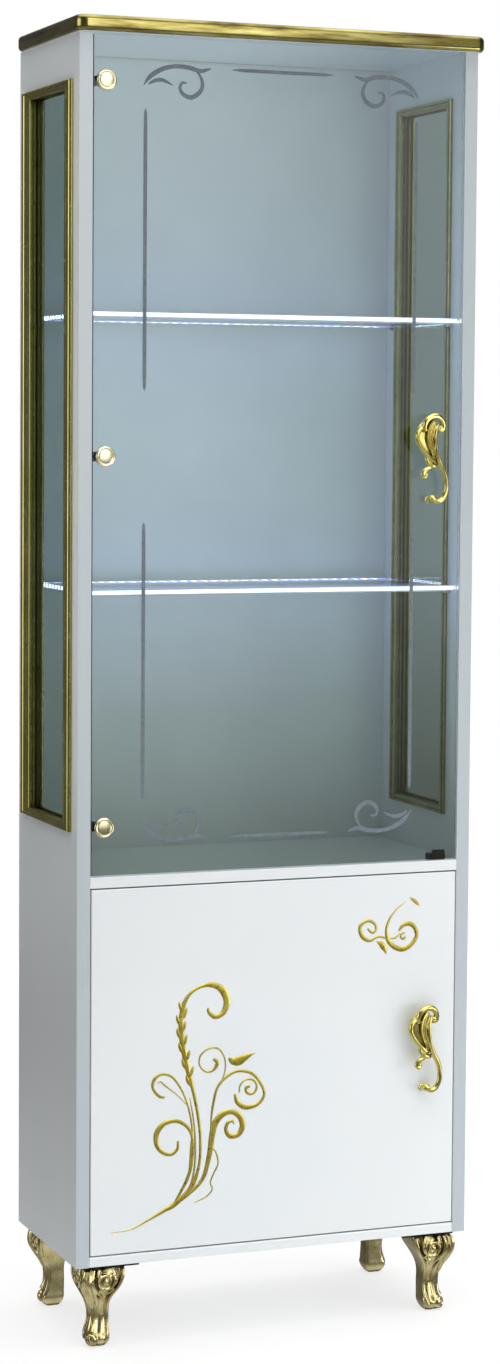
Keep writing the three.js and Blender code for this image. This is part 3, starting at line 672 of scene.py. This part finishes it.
def handle_shape():
    """Sea-horse handle in its own frame: x right, z up, y = 0 on the door face."""
    shape = Shape()
    shape.join(strap([  # web of the wing and body, sunk between its rims
        [3, -14, 60, 6, 2.5], [-2, -15, 50, 11, 3], [-6, -15, 40, 14.5, 3], [-6.5, -15, 31, 14, 3],
        [-3, -15.5, 21, 11.5, 3], [1, -16, 12, 8.5, 3], [6, -16, 2, 5.5, 3], [10, -16, -5, 4, 3],
    ]))
    shape.join(strap([  # blade down the middle
        [7, -19, 57, 3.5, 3.4], [3, -20, 49, 5.5, 4.6], [0, -20.5, 40, 5.5, 5], [-1, -21, 30, 5, 5],
        [1, -21, 20, 4.4, 4.6], [5, -20, 10, 3.6, 4], [9, -18, 1, 2.6, 3.2],
    ], LEAF))
    shape.join(strap([  # crest over the head, rolled up at its right end
        [-8, -20, 42, 3.2, 3.6], [-9, -21, 51, 3.8, 4.6], [-5, -21.5, 59, 4.4, 5.2],
        [3, -21.5, 64, 4.8, 5.4], [12, -20.5, 64, 4.8, 5.0], [19, -19, 59, 4.4, 4.6],
        [22.5, -17.5, 52, 4.0, 4.2], [22, -17, 45.5, 3.8, 4.0], [17, -17, 43, 3.4, 3.8],
        [13.5, -17.5, 46.5, 2.6, 3.2],
    ]))
    shape.join(turned(BALL_SMALL, (17.5, -17, 47.5)))
    shape.join(strap([  # left rim of the wing
        [-7, -18, 51, 2.6, 3.6], [-14, -18.5, 46, 3.2, 4.2], [-19.5, -19, 39, 3.4, 4.6],
        [-20.5, -19, 31, 3.4, 4.6], [-16.5, -19.5, 21.5, 3.2, 4.6], [-9.5, -20, 12, 3.2, 4.6],
        [-2, -20.5, 4, 3.6, 4.6], [5, -20, -2, 3.6, 4.2],
    ]))
    shape.join(strap([  # right rim running into the tail
        [13, -19, 52, 2.4, 3.6], [9.5, -20.5, 44, 2.8, 4.6], [7.5, -21.5, 34, 2.8, 5],
        [8.5, -21.5, 24, 3.0, 5], [10, -21.5, 14, 3.2, 5], [13, -20.5, 3, 3.8, 5],
        [18.5, -19, -8, 4.0, 4.8], [24, -18, -18, 4.0, 4.6], [28, -17, -29, 3.8, 4.4],
        [29, -16.5, -41, 3.6, 4.2], [27, -16, -51, 3.8, 4.2], [22, -15.5, -59, 4.2, 4.4],
        [15, -15.5, -62, 4.2, 4.4], [9, -15.5, -60, 3.8, 4.2],
    ]))
    shape.join(strap([  # sash across the waist
        [-6, -19, 3, 2.6, 3.2], [-3, -20.5, -3.5, 3.6, 4.2], [3, -20.5, -8, 4, 4.6],
        [10, -19, -9.5, 3.4, 3.8], [15, -17.5, -8, 2, 2.8],
    ]))
    shape.join(strap([  # small curl below the waist
        [5, -19, -8, 3.6, 4.2], [-1, -19, -12, 3.6, 4.2], [-7, -18.5, -16, 3.6, 4.2],
        [-10, -18, -21.5, 3.8, 4.2], [-7, -17.5, -25.5, 3.6, 4], [-3, -17, -23, 3, 3.4],
    ]))
    shape.join(turned(BALL_SMALL, (-5, -17, -21.5)))
    shape.join(turned(BALL_LARGE, (7, -16, -57)))
    for x, z, far in ((-8, 40, -16), (7, -60, -14)):  # posts that stand on the door
        shape.join(turned([(0, far), (3.6, far), (4.2, -3), (6, -0.4), (6, 0), (0, 0)], (x, 0, z)))
    return shape


def handles():
    mesh = cast(handle_shape(), 0.55, 3)
    for door, pane in (("glass_door", "glass_door_pane"), ("cupboard_door", "cupboard_door_panel")):
        node = f"{door}_handle"
        low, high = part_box(node)
        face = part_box(pane)[0].y
        place = Vector((high.x - HANDLE_AXIS * MM, face, (low.z + high.z) / 2))
        piece(f"{door}_sea_horse", carried(mesh, Matrix.Translation(place)), "polished_gold",
              door, [node], sharp=180)


# ---- hinges of the glass door

# Profiles of (radius, place behind the glass's front face).
CAP = [
    (0, -4), (9.2, -4), (10.2, -3.7), (10.6, -3.3), (11.4, -3.3), (12, -3.7), (13, -3.7),
    (14.2, -3), (14.9, -1.9), (15, -0.9), (14.6, 0), (0, 0),
]
CAP_RADIUS = 15
CUP_RADIUS = 12
CUP_END = [(CUP_RADIUS, 14.5), (11, 16), (8, 16), (8, 13.5), (5, 13.5), (4.4, 15), (0, 15)]
PLATE_THICK = 1.8
PLATE_EDGE = 0.5


def glass_hinges():
    """Each hinge: the cap in front of the glass, the plate under it and the cup behind."""
    pane_low, pane_high = cad_box_of("glass_door_pane")
    front, rear = pane_low.y, pane_high.y
    for level in ("top", "middle", "bottom"):
        node = f"glass_hinge_{level}"
        low, high = cad_box_of(node)
        x, z = high.x - CAP_RADIUS, (low.z + high.z) / 2
        cap = turned(CAP, (x, front, z), steps=64)
        piece(f"hinge_cap_{level}", cap, "polished_gold", "glass_door", [node], "cap_gold")
        outline = [(low.x, z + 4), (low.x, z - 2), (x - 5, z - 14.2), (x + 4, z - 14.4),
                   (x + 4, z + 14.4), (x - 5, z + 14.2)]
        plate = prism(outline, front - PLATE_THICK, front, PLATE_EDGE, 2)
        piece(f"hinge_plate_{level}", plate, "dark_metal", "glass_door")
        cup = [(0, rear - front), (CUP_RADIUS, rear - front), *CUP_END]
        piece(f"hinge_cup_{level}", turned(cup, (x, front, z)), "steel_fittings", "glass_door")


# ---- scrolls on the lower door

def ribbon(stations, face, height=0.8, per=6):
    """Raised stroke lying on a door face; stations are x, z and full width."""
    rows = [[x, face, z, width / 2, min(height, 0.25 + width * 0.14)] for x, z, width in stations]
    return strap(rows, DOME, per=per)


def spiral(x, z, radius, end_radius, start, turns, width, end_width):
    """Stations of a spiral that winds in from radius to end_radius; angles in turns."""
    count = max(4, int(abs(turns) * 12))
    stations = []
    for i in range(count + 1):
        share = i / count
        angle = 2 * math.pi * (start + turns * share)
        reach = radius + (end_radius - radius) * share
        stations.append([x + reach * math.cos(angle), z + reach * math.sin(angle),
                         width + (end_width - width) * share])
    return stations


def laid(strokes, x, z, face, height=0.8, per=6):
    """Shape of strokes lying on a door face; their places start from (x, z)."""
    shape = Shape()
    for stroke in strokes:
        placed = [(x + along, z + up, width) for along, up, width in stroke]
        shape.join(ribbon(placed, face, height, per))
    return shape


# Strokes of (x, z, width), from the lower left corner of the door.
LARGE_SCROLL = [
    # main stem, from the tail to the crescent at the top
    [(31, 32, 0.8), (60, 34, 1.8), (91, 47, 3.6), (114, 58, 6), (130, 66, 8), (156, 90, 6.5),
     (167, 121, 4.5), (169, 158, 4.5), (165, 195, 4.5), (157, 233, 5.5), (147, 270, 8),
     (140, 305, 8.5), (138, 335, 8.5), (142, 360, 7), (152, 376, 5), (168, 385, 4.5),
     (184, 387, 8), (200, 380, 10.5), (209, 362, 10.5), (204, 345, 8.5), (191, 339, 7),
     (181, 346, 5), (180, 353, 3)],
    [(118, 60, 2), (150, 84, 4), (160, 118, 3), (161, 158, 3), (158, 190, 2.5), (152, 222, 1.5)],
    # left curl, low
    [(128, 66, 3), (146, 96, 5), (155, 122, 5), (157, 158, 4.5), (149, 178, 5), (131, 189, 6),
     (112, 186, 7.5), (101, 173, 8.5), (101, 156, 7), (110, 144, 5.5), (123, 140, 5),
     (133, 147, 4.5), (134, 159, 3.5)],
    # left loop, high, with its inner line
    [(151, 104, 2), (154, 144, 3), (156, 174, 3), (151, 204, 3), (141, 231, 3.2), (126, 253, 3.5),
     (109, 260, 4), (97, 253, 5), (95, 240, 4.5), (104, 228, 4.5), (113, 225, 3)],
    [(147, 212, 1.2), (134, 226, 1.8), (122, 236, 2), (113, 243, 2.5), (106, 249, 2), (101, 246, 1)],
    # thick curl on the right
    [(118, 58, 3), (150, 78, 5), (173, 100, 6), (183, 134, 8), (187, 162, 9.5), (192, 181, 10.5),
     (203, 193, 9.5), (218, 196, 8), (231, 187, 9), (235, 173, 9), (228, 161, 8), (215, 160, 7.5),
     (209, 170, 6), (212, 180, 5), (219, 182, 4), (222, 177, 2)],
    # big curl on the right and its inner spiral
    [(184, 140, 1.5), (186, 189, 3), (189, 211, 4), (195, 233, 4), (208, 248, 4.5),
     (227, 256, 4.5), (249, 251, 4.5), (264, 234, 4.5), (269, 217, 4.5), (258, 204, 5.5),
     (240, 201, 7.5), (227, 209, 7), (223, 222, 4)],
    spiral(246, 229, 17, 3, 0.55, -1.3, 2.5, 5.5),
    # ring on top
    [(196, 232, 1), (206, 254, 2.2), (207, 275, 2.6), (197, 291, 2.8), (182, 293, 2.8),
     (169, 284, 2.8), (167, 270, 2.8), (176, 259, 2.8), (188, 260, 4), (195, 270, 6), (189, 277, 5)],
    # bud between the curls
    [(213, 276, 4), (219, 271, 10), (228, 271, 14), (238, 275, 10), (247, 279, 5), (255, 281, 0.8)],
    # wavy line on the right
    [(184, 148, 1.2), (193, 138, 2.4), (197, 121, 2.4), (190, 106, 2.4), (185, 93, 2.4),
     (188, 83, 2.4), (179, 73, 2.4), (160, 65, 1.4)],
]

SMALL_SCROLL = [
    [(495, 494, 0.8), (485, 487, 2), (478, 481, 2.4), (469, 469, 3.5), (464, 453, 5),
     (467, 436, 6.5), (477, 426, 7.5), (491, 422, 7.5), (504, 428, 6.5), (513, 440, 6),
     (511, 452, 6.5), (502, 460, 7), (491, 458, 6), (484, 450, 3)],
    [(468, 436, 2), (460, 441, 3), (449, 443, 3.5), (436, 438, 5), (424, 445, 6), (421, 460, 5.5),
     (433, 468, 5), (444, 463, 4.5), (447, 454, 4), (440, 450, 4), (433, 456, 3)],
    [(501, 500, 0.6), (507, 496, 5), (513, 491, 5), (518, 486, 0.8)],
    spiral(492, 441, 6, 1.5, 0.2, 0.8, 3, 4.5),
    [(448, 436, 1), (456, 431, 9), (461, 424, 8), (464, 416, 1)],
    [(470, 440, 1.5), (478, 440, 3.5), (486, 446, 2)],
]


LEAFLET_REACH = 7.5


def leaflets():
    """Serrated lobes down the left and right of the main stem, below the crescent."""
    stem = curve([(157, 233, 0), (147, 270, 0), (140, 305, 0), (138, 335, 0), (144, 364, 0)])
    lobes = []
    for i in range(2, len(stem) - 1, 2):
        x, z, _ = stem[i]
        reach = -LEAFLET_REACH if (i // 2) % 2 else LEAFLET_REACH
        lobes.append([(x, z - 7, 1.5), (x + 0.4 * reach, z - 1, 6),
                      (x + 0.8 * reach, z + 6, 4.5), (x + 0.95 * reach, z + 11, 0.8)])
    return lobes


def scrolls():
    low, _ = cad_box_of("cupboard_door_panel")
    for name, strokes in (("large", LARGE_SCROLL + leaflets()), ("small", SMALL_SCROLL)):
        piece(f"gold_scroll_{name}", laid(strokes, low.x, low.z, low.y), "gold_leaf",
              "cupboard_door", [f"scroll_inlay_{name}"], sharp=70)


# ---- etched border of the glass

ETCH_HEIGHT = 0.15
# Corner ornament, from the middle of the top line's height and the side line's x outwards.
CORNER_SCROLL = [
    [(-214, 27, 1), (-208, 36, 5), (-199, 44, 7), (-184, 52, 6.5), (-166, 56, 6), (-145, 55, 6.5),
     (-129, 51, 6), (-119, 53, 4.5), (-112, 55, 1.5)],
    [(-207, 29, 2), (-198, 34, 5), (-188, 36, 5.5), (-178, 33, 4), (-170, 29, 1)],
    [(-136, 52, 2), (-128, 43, 4), (-125, 30, 5.5), (-131, 19, 6.5), (-143, 13, 6.5),
     (-154, 17, 6), (-159, 25, 5), (-156, 33, 4), (-149, 33, 2.5)],
]
BORDER_X = 211
BORDER_TOP = 1102
BORDER_BOTTOM = 103
SIDE_LINES = ((1097, 696), (508, 108))
SIDE_TAPER = 25
TOP_LINE = 80
TOP_LINE_RISE = 55
TOP_TAPER = 20


def border():
    low, _ = cad_box_of("glass_door_pane")
    strokes = []
    for side in (-1, 1):
        x = side * BORDER_X
        for top, base in SIDE_LINES:
            strokes.append([(x, top, 0.8), (x, top - SIDE_TAPER, 5.5), (x, (top + base) / 2, 5.5),
                            (x, base + SIDE_TAPER, 5.5), (x, base, 0.8)])
        for up, level in ((1, BORDER_TOP), (-1, BORDER_BOTTOM)):
            for scroll in CORNER_SCROLL:
                strokes.append([(-side * along, level + up * z, width) for along, z, width in scroll])
    for z in (BORDER_TOP + TOP_LINE_RISE, BORDER_BOTTOM - TOP_LINE_RISE):
        strokes.append([(-TOP_LINE, z, 0.8), (-TOP_LINE + TOP_TAPER, z, 4.5), (0, z, 5),
                        (TOP_LINE - TOP_TAPER, z, 4.5), (TOP_LINE, z, 0.8)])
    shape = laid(strokes, 0, low.z, low.y, ETCH_HEIGHT, per=5)
    piece("etched_border", shape, "smoked_glass", "glass_door", look="etched_border", sharp=80)


# ---- shelf lighting

# The front profile's lips, under and over its diffuser.
LIP_UNDER = 2.2
LIP_OVER = 1.0
DIFFUSER_PAST_END = 7
DIFFUSER_PROUD = 1.4
DIFFUSER_EDGE = 0.6
CHIP_PITCH = 16.7
CHIP_HALF = 2.8
CHIP_PROUD = 1
CHIP_INSET = 1.6
CHIP_EDGE = 0.4


def shelf_lights():
    """A lit diffuser along each shelf's front profile, and a row of chips along its rear one."""
    for level in ("upper", "lower"):
        low, high = cad_box_of(f"led_profile_{level}_front")
        bar = block((low.x - DIFFUSER_PAST_END, low.y - DIFFUSER_PROUD, low.z + LIP_UNDER),
                    (high.x + DIFFUSER_PAST_END, low.y, high.z - LIP_OVER), DIFFUSER_EDGE)
        piece(f"led_diffuser_{level}", bar, "led_profile", look="led_strip")
        low, high = cad_box_of(f"led_profile_{level}_rear")
        row = Shape()
        for i in range(int((high.x - low.x) / CHIP_PITCH)):
            x = low.x + CHIP_PITCH * (i + 0.5)
            row.join(block((x - CHIP_HALF, low.y - CHIP_PROUD, low.z + CHIP_INSET),
                           (x + CHIP_HALF, low.y, high.z - CHIP_INSET), CHIP_EDGE, 2))
        piece(f"led_chips_{level}", row, "led_profile", look="led_dots")


# ---- legs

# Height, and where the leg's inner and outer faces are at it, out from its inner corner.
LEG_STATIONS = [
    (0, 29, 49), (5, 25, 54), (13, 22, 57), (24, 22, 52), (42, 22, 48), (60, 22, 51),
    (74, 19, 57), (88, 12, 64), (100, 5, 67), (112, 1, 66), (120, 0, 62),
]
LEG_INNER = 229
LEG_SIDES = 96
# On each outer face: distance from the inner edge, height, half width and rise.
VOLUTE_EYE = (33, 100, 0, 0)
LEG_BEADS = [
    # volute
    [(x, z, w, 4.0) for x, z, w in spiral(33, 100, 14.5, 4.0, 0.40, 1.5, 2.8, 2.2)],
    # edge bead, from the inner top corner down to the toe
    [(5, 116, 2.4, 2.6), (7, 105, 2.6, 2.8), (12, 92, 2.6, 2.8), (20, 79, 2.4, 2.8),
     (25, 66, 2.2, 2.6), (25, 48, 2.2, 2.4), (25, 32, 2.2, 2.4), (27, 18, 2.8, 3.0),
     (31, 8, 3.2, 3.2)],
    # outer fold of the volute, running into the shaft
    [(50, 117, 2.2, 2.6), (53, 105, 2.6, 3.0), (51, 93, 2.8, 3.2), (44, 83, 2.8, 3.2),
     (37, 75, 2.4, 2.8), (34, 63, 2.0, 2.2), (33, 48, 1.6, 1.6)],
    # little curl under the volute
    [(20, 88, 2.0, 2.2), (26, 82, 2.4, 2.8), (32, 79, 2.2, 2.6), (31, 73, 1.8, 2.2)],
]
LEG_LEAVES = [
    [(59, 116, 3.2, 3.2), (60, 106, 5.0, 5.0), (58, 95, 5.0, 5.0), (52, 83, 4.2, 4.2),
     (45, 71, 3.0, 3.0), (41, 60, 1.6, 1.6)],
    [(22, 118, 3.0, 2.6), (19, 110, 4.0, 3.6), (18, 101, 3.6, 3.2), (21, 92, 2.2, 2.2)],
    [(42, 118, 2.6, 2.4), (43, 113, 3.4, 3.0), (45, 106, 2.6, 2.4)],
]
# Section of the toe: radius, and place out along the diagonal.
TOE = [
    (0, 8.0), (2.2, 7.6), (3.2, 6.2), (4.4, 6.0), (5.4, 7.4), (7.2, 7.4), (8.8, 5.6), (9.6, 2.6),
    (9.6, -1), (8.6, -5), (6, -8), (0, -9),
]
TOE_OUT = 68
TOE_HEIGHT = 11


def leg_section(angle):
    """Reach of the leg's section at an angle: square towards its inner corner, round and
    fluted towards the outer one, which lies at 45 degrees."""
    from_corner = abs((math.degrees(angle) + 135) % 360 - 180)
    power = 2.6 if from_corner < 90 else 9.0
    reach = (abs(math.cos(angle)) ** power + abs(math.sin(angle)) ** power) ** (-1 / power)
    rib = 0.12 * math.exp(-((from_corner / 12) ** 2))
    groove = 0.13 * math.exp(-(((from_corner - 28) / 11) ** 2))
    bead = 0.05 * math.exp(-(((from_corner - 58) / 12) ** 2))
    return 0.97 * reach * (1 + rib - groove + bead)


def leg_core():
    loops = []
    for height, inner, outer in curve(LEG_STATIONS, per=5):
        middle, half = (inner + outer) / 2, (outer - inner) / 2
        loop = []
        for i in range(LEG_SIDES):
            angle = 2 * math.pi * i / LEG_SIDES
            reach = half * leg_section(angle)
            loop.append((middle + reach * math.cos(angle), middle + reach * math.sin(angle), height))
        loops.append(loop)
    return skin(loops)


def on_leg_face(flip, along, z, half, rise, sunk=1.5):
    """Station on one of the leg's two outer faces, at a distance from its inner edge."""
    heights, _, outer = zip(*LEG_STATIONS)
    depth = float(np.interp(z, heights, outer)) - sunk
    return [depth, along, z, half, rise] if flip else [along, depth, z, half, rise]


def leg_ornament(flip):
    """Volute, beads and leaves on one of the leg's two outer faces."""
    shape = Shape()
    facing = (1, 0, 0) if flip else (0, 1, 0)
    for strokes, profile in ((LEG_BEADS, ROUND), (LEG_LEAVES, LEAF)):
        for stroke in strokes:
            shape.join(strap([on_leg_face(flip, *station) for station in stroke], profile, facing))
    centre = on_leg_face(flip, *VOLUTE_EYE)[:3]
    return shape.join(turned(BALL_SMALL, centre, "x" if flip else "y"))


def leg_crest():
    """On the leg's outer edge: the leaf over the knee, the rib's bead and the scrolled toe."""
    diagonal = Vector((1, 1, 0)).normalized()
    shape = Shape()

    def along(stations, profile):
        placed = [[*(diagonal * out)[:2], z, half, rise] for out, z, half, rise in stations]
        shape.join(strap(placed, profile, diagonal))

    along([[80, 119, 6, 4], [85, 108, 9, 6.5], [86, 96, 9.5, 7], [80, 83, 8, 6],
           [73, 71, 5.5, 4.5], [68.5, 58, 2.5, 2.5]], LEAF)
    along([[68, 62, 2.4, 2.6], [66, 46, 2.6, 3], [67, 32, 3, 3.2], [71, 22, 4, 4]], ROUND)
    place = Matrix.Translation(diagonal * TOE_OUT + Vector((0, 0, TOE_HEIGHT)))
    turn = Matrix.Rotation(math.radians(-45), 4, "Z")
    return shape.join(turned(TOE, (0, 0, 0)).moved(place @ turn))


def leg_shape():
    """Leg in its own corner: +x and +y both point out of the cabinet."""
    return leg_core().join(leg_ornament(False)).join(leg_ornament(True)).join(leg_crest())


def leg_places():
    """Each corner's name, and the matrix from a leg's own corner to its place."""
    for row, out in (("front", -1), ("rear", 1)):
        for side, sign in (("left", -1), ("right", 1)):
            low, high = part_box(f"leg_{row}_{side}")
            place = Matrix.Translation((sign * LEG_INNER * MM, high.y if out < 0 else low.y, 0))
            yield f"{row}_{side}", place @ Matrix.Diagonal((sign, out, 1, 1))


def legs():
    mesh = cast(leg_shape(), 0.7, 2)
    for corner, place in leg_places():
        piece(f"cabriole_leg_{corner}", carried(mesh, place), "antique_gold",
              replaces=[f"leg_{corner}"], sharp=180)


# ---- pads and screws

# Felt pad: profile of (radius, height), and its place out from the leg's inner corner.
PAD = [(0, 0.4), (6, 0.4), (6.6, 1.0), (6.6, 2.6), (0, 2.6)]
PAD_OUT = 38
SUNK_RISE = 0.3
BACK_ROWS = 11
BACK_COLUMNS = 5
BACK_INSET = 8
BACK_END_INSET = 12
# Hinge arm screws: in from the arm's ends, out from the panel, behind the arm's middle.
ARM_END_INSET = 5
ARM_FLANGE = 2.8
ARM_BEHIND = 4
ARM_SCREW_RADIUS = 2.8


def pads():
    mesh = to_mesh("felt_pad", turned(PAD, (PAD_OUT, PAD_OUT, 0), "z", 32))
    for corner, place in leg_places():
        piece(f"felt_pad_{corner}", carried(mesh, place), "black_plastic", look="felt")


def screw(x, y, z, axis_out, radius=3.2, rise=1.6):
    """Pan head with a round drive recess; its face points along axis_out."""
    head = turned([(0, -1), (radius, -1), (radius, 0.4 * rise), (radius * 0.85, 0.8 * rise),
                   (radius * 0.45, rise), (radius * 0.4, 0.4 * rise), (0, 0.4 * rise)],
                  (0, 0, 0), steps=24)
    turn = Vector((0, 1, 0)).rotation_difference(Vector(axis_out)).to_matrix().to_4x4()
    return head.moved(Matrix.Translation((x, y, z)) @ turn)


def back_screws():
    """Screws down both sides of the back panel, and along its top and bottom."""
    low, high = cad_box_of("back_panel")
    sides = (low.x + BACK_INSET, high.x - BACK_INSET)
    heights = np.linspace(low.z + BACK_END_INSET, high.z - BACK_END_INSET, BACK_ROWS)
    places = [(x, z) for z in heights for x in sides]
    for x in np.linspace(*sides, BACK_COLUMNS)[1:-1]:
        places += [(x, low.z + BACK_INSET), (x, high.z - BACK_INSET)]
    screws = Shape()
    for x, z in places:
        screws.join(screw(x, high.y, z, (0, 1, 0), rise=SUNK_RISE))
    piece("back_panel_screws", screws, "steel_fittings")


def arm_screws():
    """Two screws through each hinge arm into the left side panel."""
    screws = Shape()
    arms = [f"glass_hinge_arm_{level}" for level in ("top", "middle", "bottom")]
    arms += [f"cupboard_hinge_arm_{level}" for level in ("top", "bottom")]
    for arm in arms:
        low, high = cad_box_of(arm)
        x, y = low.x + ARM_FLANGE, (low.y + high.y) / 2 + ARM_BEHIND
        for z in (low.z + ARM_END_INSET, high.z - ARM_END_INSET):
            screws.join(screw(x, y, z, (1, 0, 0), ARM_SCREW_RADIUS))
    piece("hinge_screws", screws, "steel_fittings")


# ---- everything

soften_frame()
cornice()
for window_side in ("left", "right"):
    for window_face in ("outer", "inner"):
        window_moulding(window_side, window_face)
handles()
glass_hinges()
scrolls()
border()
shelf_lights()
legs()
pads()
back_screws()
arm_screws()


# ---- studio, in metres

CAMERA_PLACE = Vector((-1.6487, -4.2454, 1.3519))
CAMERA_YAW = math.radians(21.468)
CAMERA_PITCH = math.radians(-3.988)
CAMERA_ROLL = math.radians(0.414)
CAMERA_LENS = 80.14
CAMERA_SHIFT = (-0.0078, -0.0364)

KEY_PLACE = Vector((2.3, -1.9, 0.3))
KEY_TARGET = Vector((0, 0, 0.4))
KEY_SIZE = 1.4
KEY_POWER = 22

FLOOR_REACH = 3.2
FLOOR_SIDES = 96
FLOOR_WHITE = 0.7
FLAG_X = -0.75
FLAG_LOW = 0.1
FLAG_HIGH = 0.6
FLAG_REACH = 0.7

REFLECTOR_WAY = Vector((0.366, -0.93, 0))
REFLECTOR_DISTANCE = 6.0
REFLECTOR_HALF = 3.0
REFLECTOR_FOOT = -0.6
REFLECTOR_FULL = 2.8
REFLECTOR_TOP = 4.5
REFLECTOR_STRENGTH = 2.9
# Its right part's share of that strength, and the x where it starts to fade and ends.
REFLECTOR_RIGHT = 0.2
REFLECTOR_FADE = (1.9, 3.2)

# Soft light from far off: the way it comes from, the angles from that way where it is full
# and where it has faded out, and its strength.
DIM_ROOM = 0.14
FAR_LIGHTS = [
    ((0.0, 0.0, 1.0), 15, 58, 3.2),
    ((0.366, -0.93, 0.42), 10, 45, 0.9),
    ((0.0, 0.0, -1.0), 20, 78, 0.7),
    ((-1.0, -0.05, 0.1), 6, 24, 2.2),
    ((0.6, 0.8, 0.0), 12, 42, 0.32),
]


def make_camera():
    data = bpy.data.cameras.new("camera")
    data.lens = CAMERA_LENS
    data.sensor_width = 36
    data.shift_x, data.shift_y = CAMERA_SHIFT
    data.dof.use_dof = False
    camera = put("camera", data)
    turn = Matrix.Rotation(-CAMERA_YAW, 4, "Z")
    lean = Matrix.Rotation(math.pi / 2 + CAMERA_PITCH, 4, "X")
    roll = Matrix.Rotation(CAMERA_ROLL, 4, "Z")
    camera.matrix_world = Matrix.Translation(CAMERA_PLACE) @ turn @ lean @ roll
    bpy.context.scene.camera = camera


def make_key_light():
    data = bpy.data.lights.new("key", "AREA")
    data.shape = "SQUARE"
    data.size = KEY_SIZE
    data.energy = KEY_POWER
    light = put("key", data)
    light.location = KEY_PLACE
    light.rotation_mode = "QUATERNION"
    light.rotation_quaternion = (KEY_TARGET - KEY_PLACE).to_track_quat("-Z", "Y")


def stage_face(surface, corners, unseen_by):
    """A face of the studio that the named kinds of ray don't see."""
    mesh = bpy.data.meshes.new(surface.name)
    mesh.from_pydata(corners, [], [range(len(corners))])
    mesh.materials.append(surface.material)
    face = put(surface.name, mesh)
    for kind in unseen_by:
        setattr(face, f"visible_{kind}", False)


def upright(centre, reach, low, high):
    """Corners of an upright card that reaches both ways from its centre."""
    ends = centre - reach, centre + reach
    return [ends[i] + Vector((0, 0, z)) for i, z in ((0, low), (1, low), (1, high), (0, high))]


def make_floor():
    s = Surface("floor", Roughness=0.7, Specular_IOR_Level=0.1)
    s.feed(Base_Color=s.ramp(s.noise(0.8), (0.3, (0.94, 0.94, 0.94)), (0.7, (0.96, 0.96, 0.96))))
    s.white_to_camera(FLOOR_WHITE)
    rim = [(FLOOR_REACH * x, FLOOR_REACH * y, 0) for x, y in circle(FLOOR_SIDES)]
    stage_face(s, rim, ["glossy"])


def make_flag():
    """Dark card low on the left, outside the view, that shades the side from the floor."""
    s = Surface("flag", Roughness=0.9)
    s.feed(Base_Color=s.ramp(s.noise(3), (0.3, (0.03, 0.03, 0.03)), (0.7, (0.05, 0.05, 0.05))))
    corners = upright(Vector((FLAG_X, 0, 0)), Vector((0, FLAG_REACH, 0)), FLAG_LOW, FLAG_HIGH)
    stage_face(s, corners, ["camera", "glossy"])


def make_reflector():
    """Tall card out in front that only reflections see: bright at the top, dark at the foot and
    towards its right end."""
    s = Surface("reflector", Roughness=1.0, Specular_IOR_Level=0.0, Base_Color=(0, 0, 0, 1),
                Emission_Color=(1, 1, 1, 1))
    across, _, height = s.place()
    upward = s.spread(height, 0.05, REFLECTOR_STRENGTH, REFLECTOR_FOOT, REFLECTOR_FULL)
    sideways = s.spread(across, 1.0, REFLECTOR_RIGHT, *REFLECTOR_FADE)
    s.feed(Emission_Strength=s.math("MULTIPLY", upward, sideways))
    centre = REFLECTOR_WAY.normalized() * REFLECTOR_DISTANCE
    reach = Vector((centre.y, -centre.x, 0)).normalized() * REFLECTOR_HALF
    corners = upright(centre, reach, REFLECTOR_FOOT, REFLECTOR_TOP)
    stage_face(s, corners, ["camera", "diffuse", "transmission", "shadow"])


def far_light(tree, toward, way, full, faded, strength):
    """Strength of one soft light seen in the direction toward."""
    dot = tree.node("VectorMath")
    dot.operation = "DOT_PRODUCT"
    tree.give(dot.inputs[0], toward)
    tree.give(dot.inputs[1], Vector(way).normalized())
    fade = tree.node("MapRange", Value=dot.outputs["Value"], To_Max=strength,
                     From_Min=math.cos(math.radians(faded)), From_Max=math.cos(math.radians(full)))
    fade.interpolation_type = "SMOOTHSTEP"
    return fade.outputs["Result"]


def make_world():
    """White behind the cabinet, and soft light round it: dim at the left and the back."""
    world = bpy.data.worlds.new("studio")
    bpy.context.scene.world = world
    world.use_nodes = True
    tree = Tree(world.node_tree, "World Output")
    tree.give(tree.nodes["Background"].inputs["Color"], (1, 1, 1, 1))
    toward = tree.node("TexCoord").outputs["Generated"]
    total = DIM_ROOM
    for light in FAR_LIGHTS:
        total = tree.math("ADD", total, far_light(tree, toward, *light))
    around = tree.node("Background", Strength=total).outputs["Background"]
    tree.end_in(tree.ray("Camera"), around, tree.nodes["Background"].outputs["Background"])


make_camera()
make_floor()
make_flag()
make_reflector()
make_world()
bpy.context.scene.view_settings.view_transform = "Standard"
make_key_light()
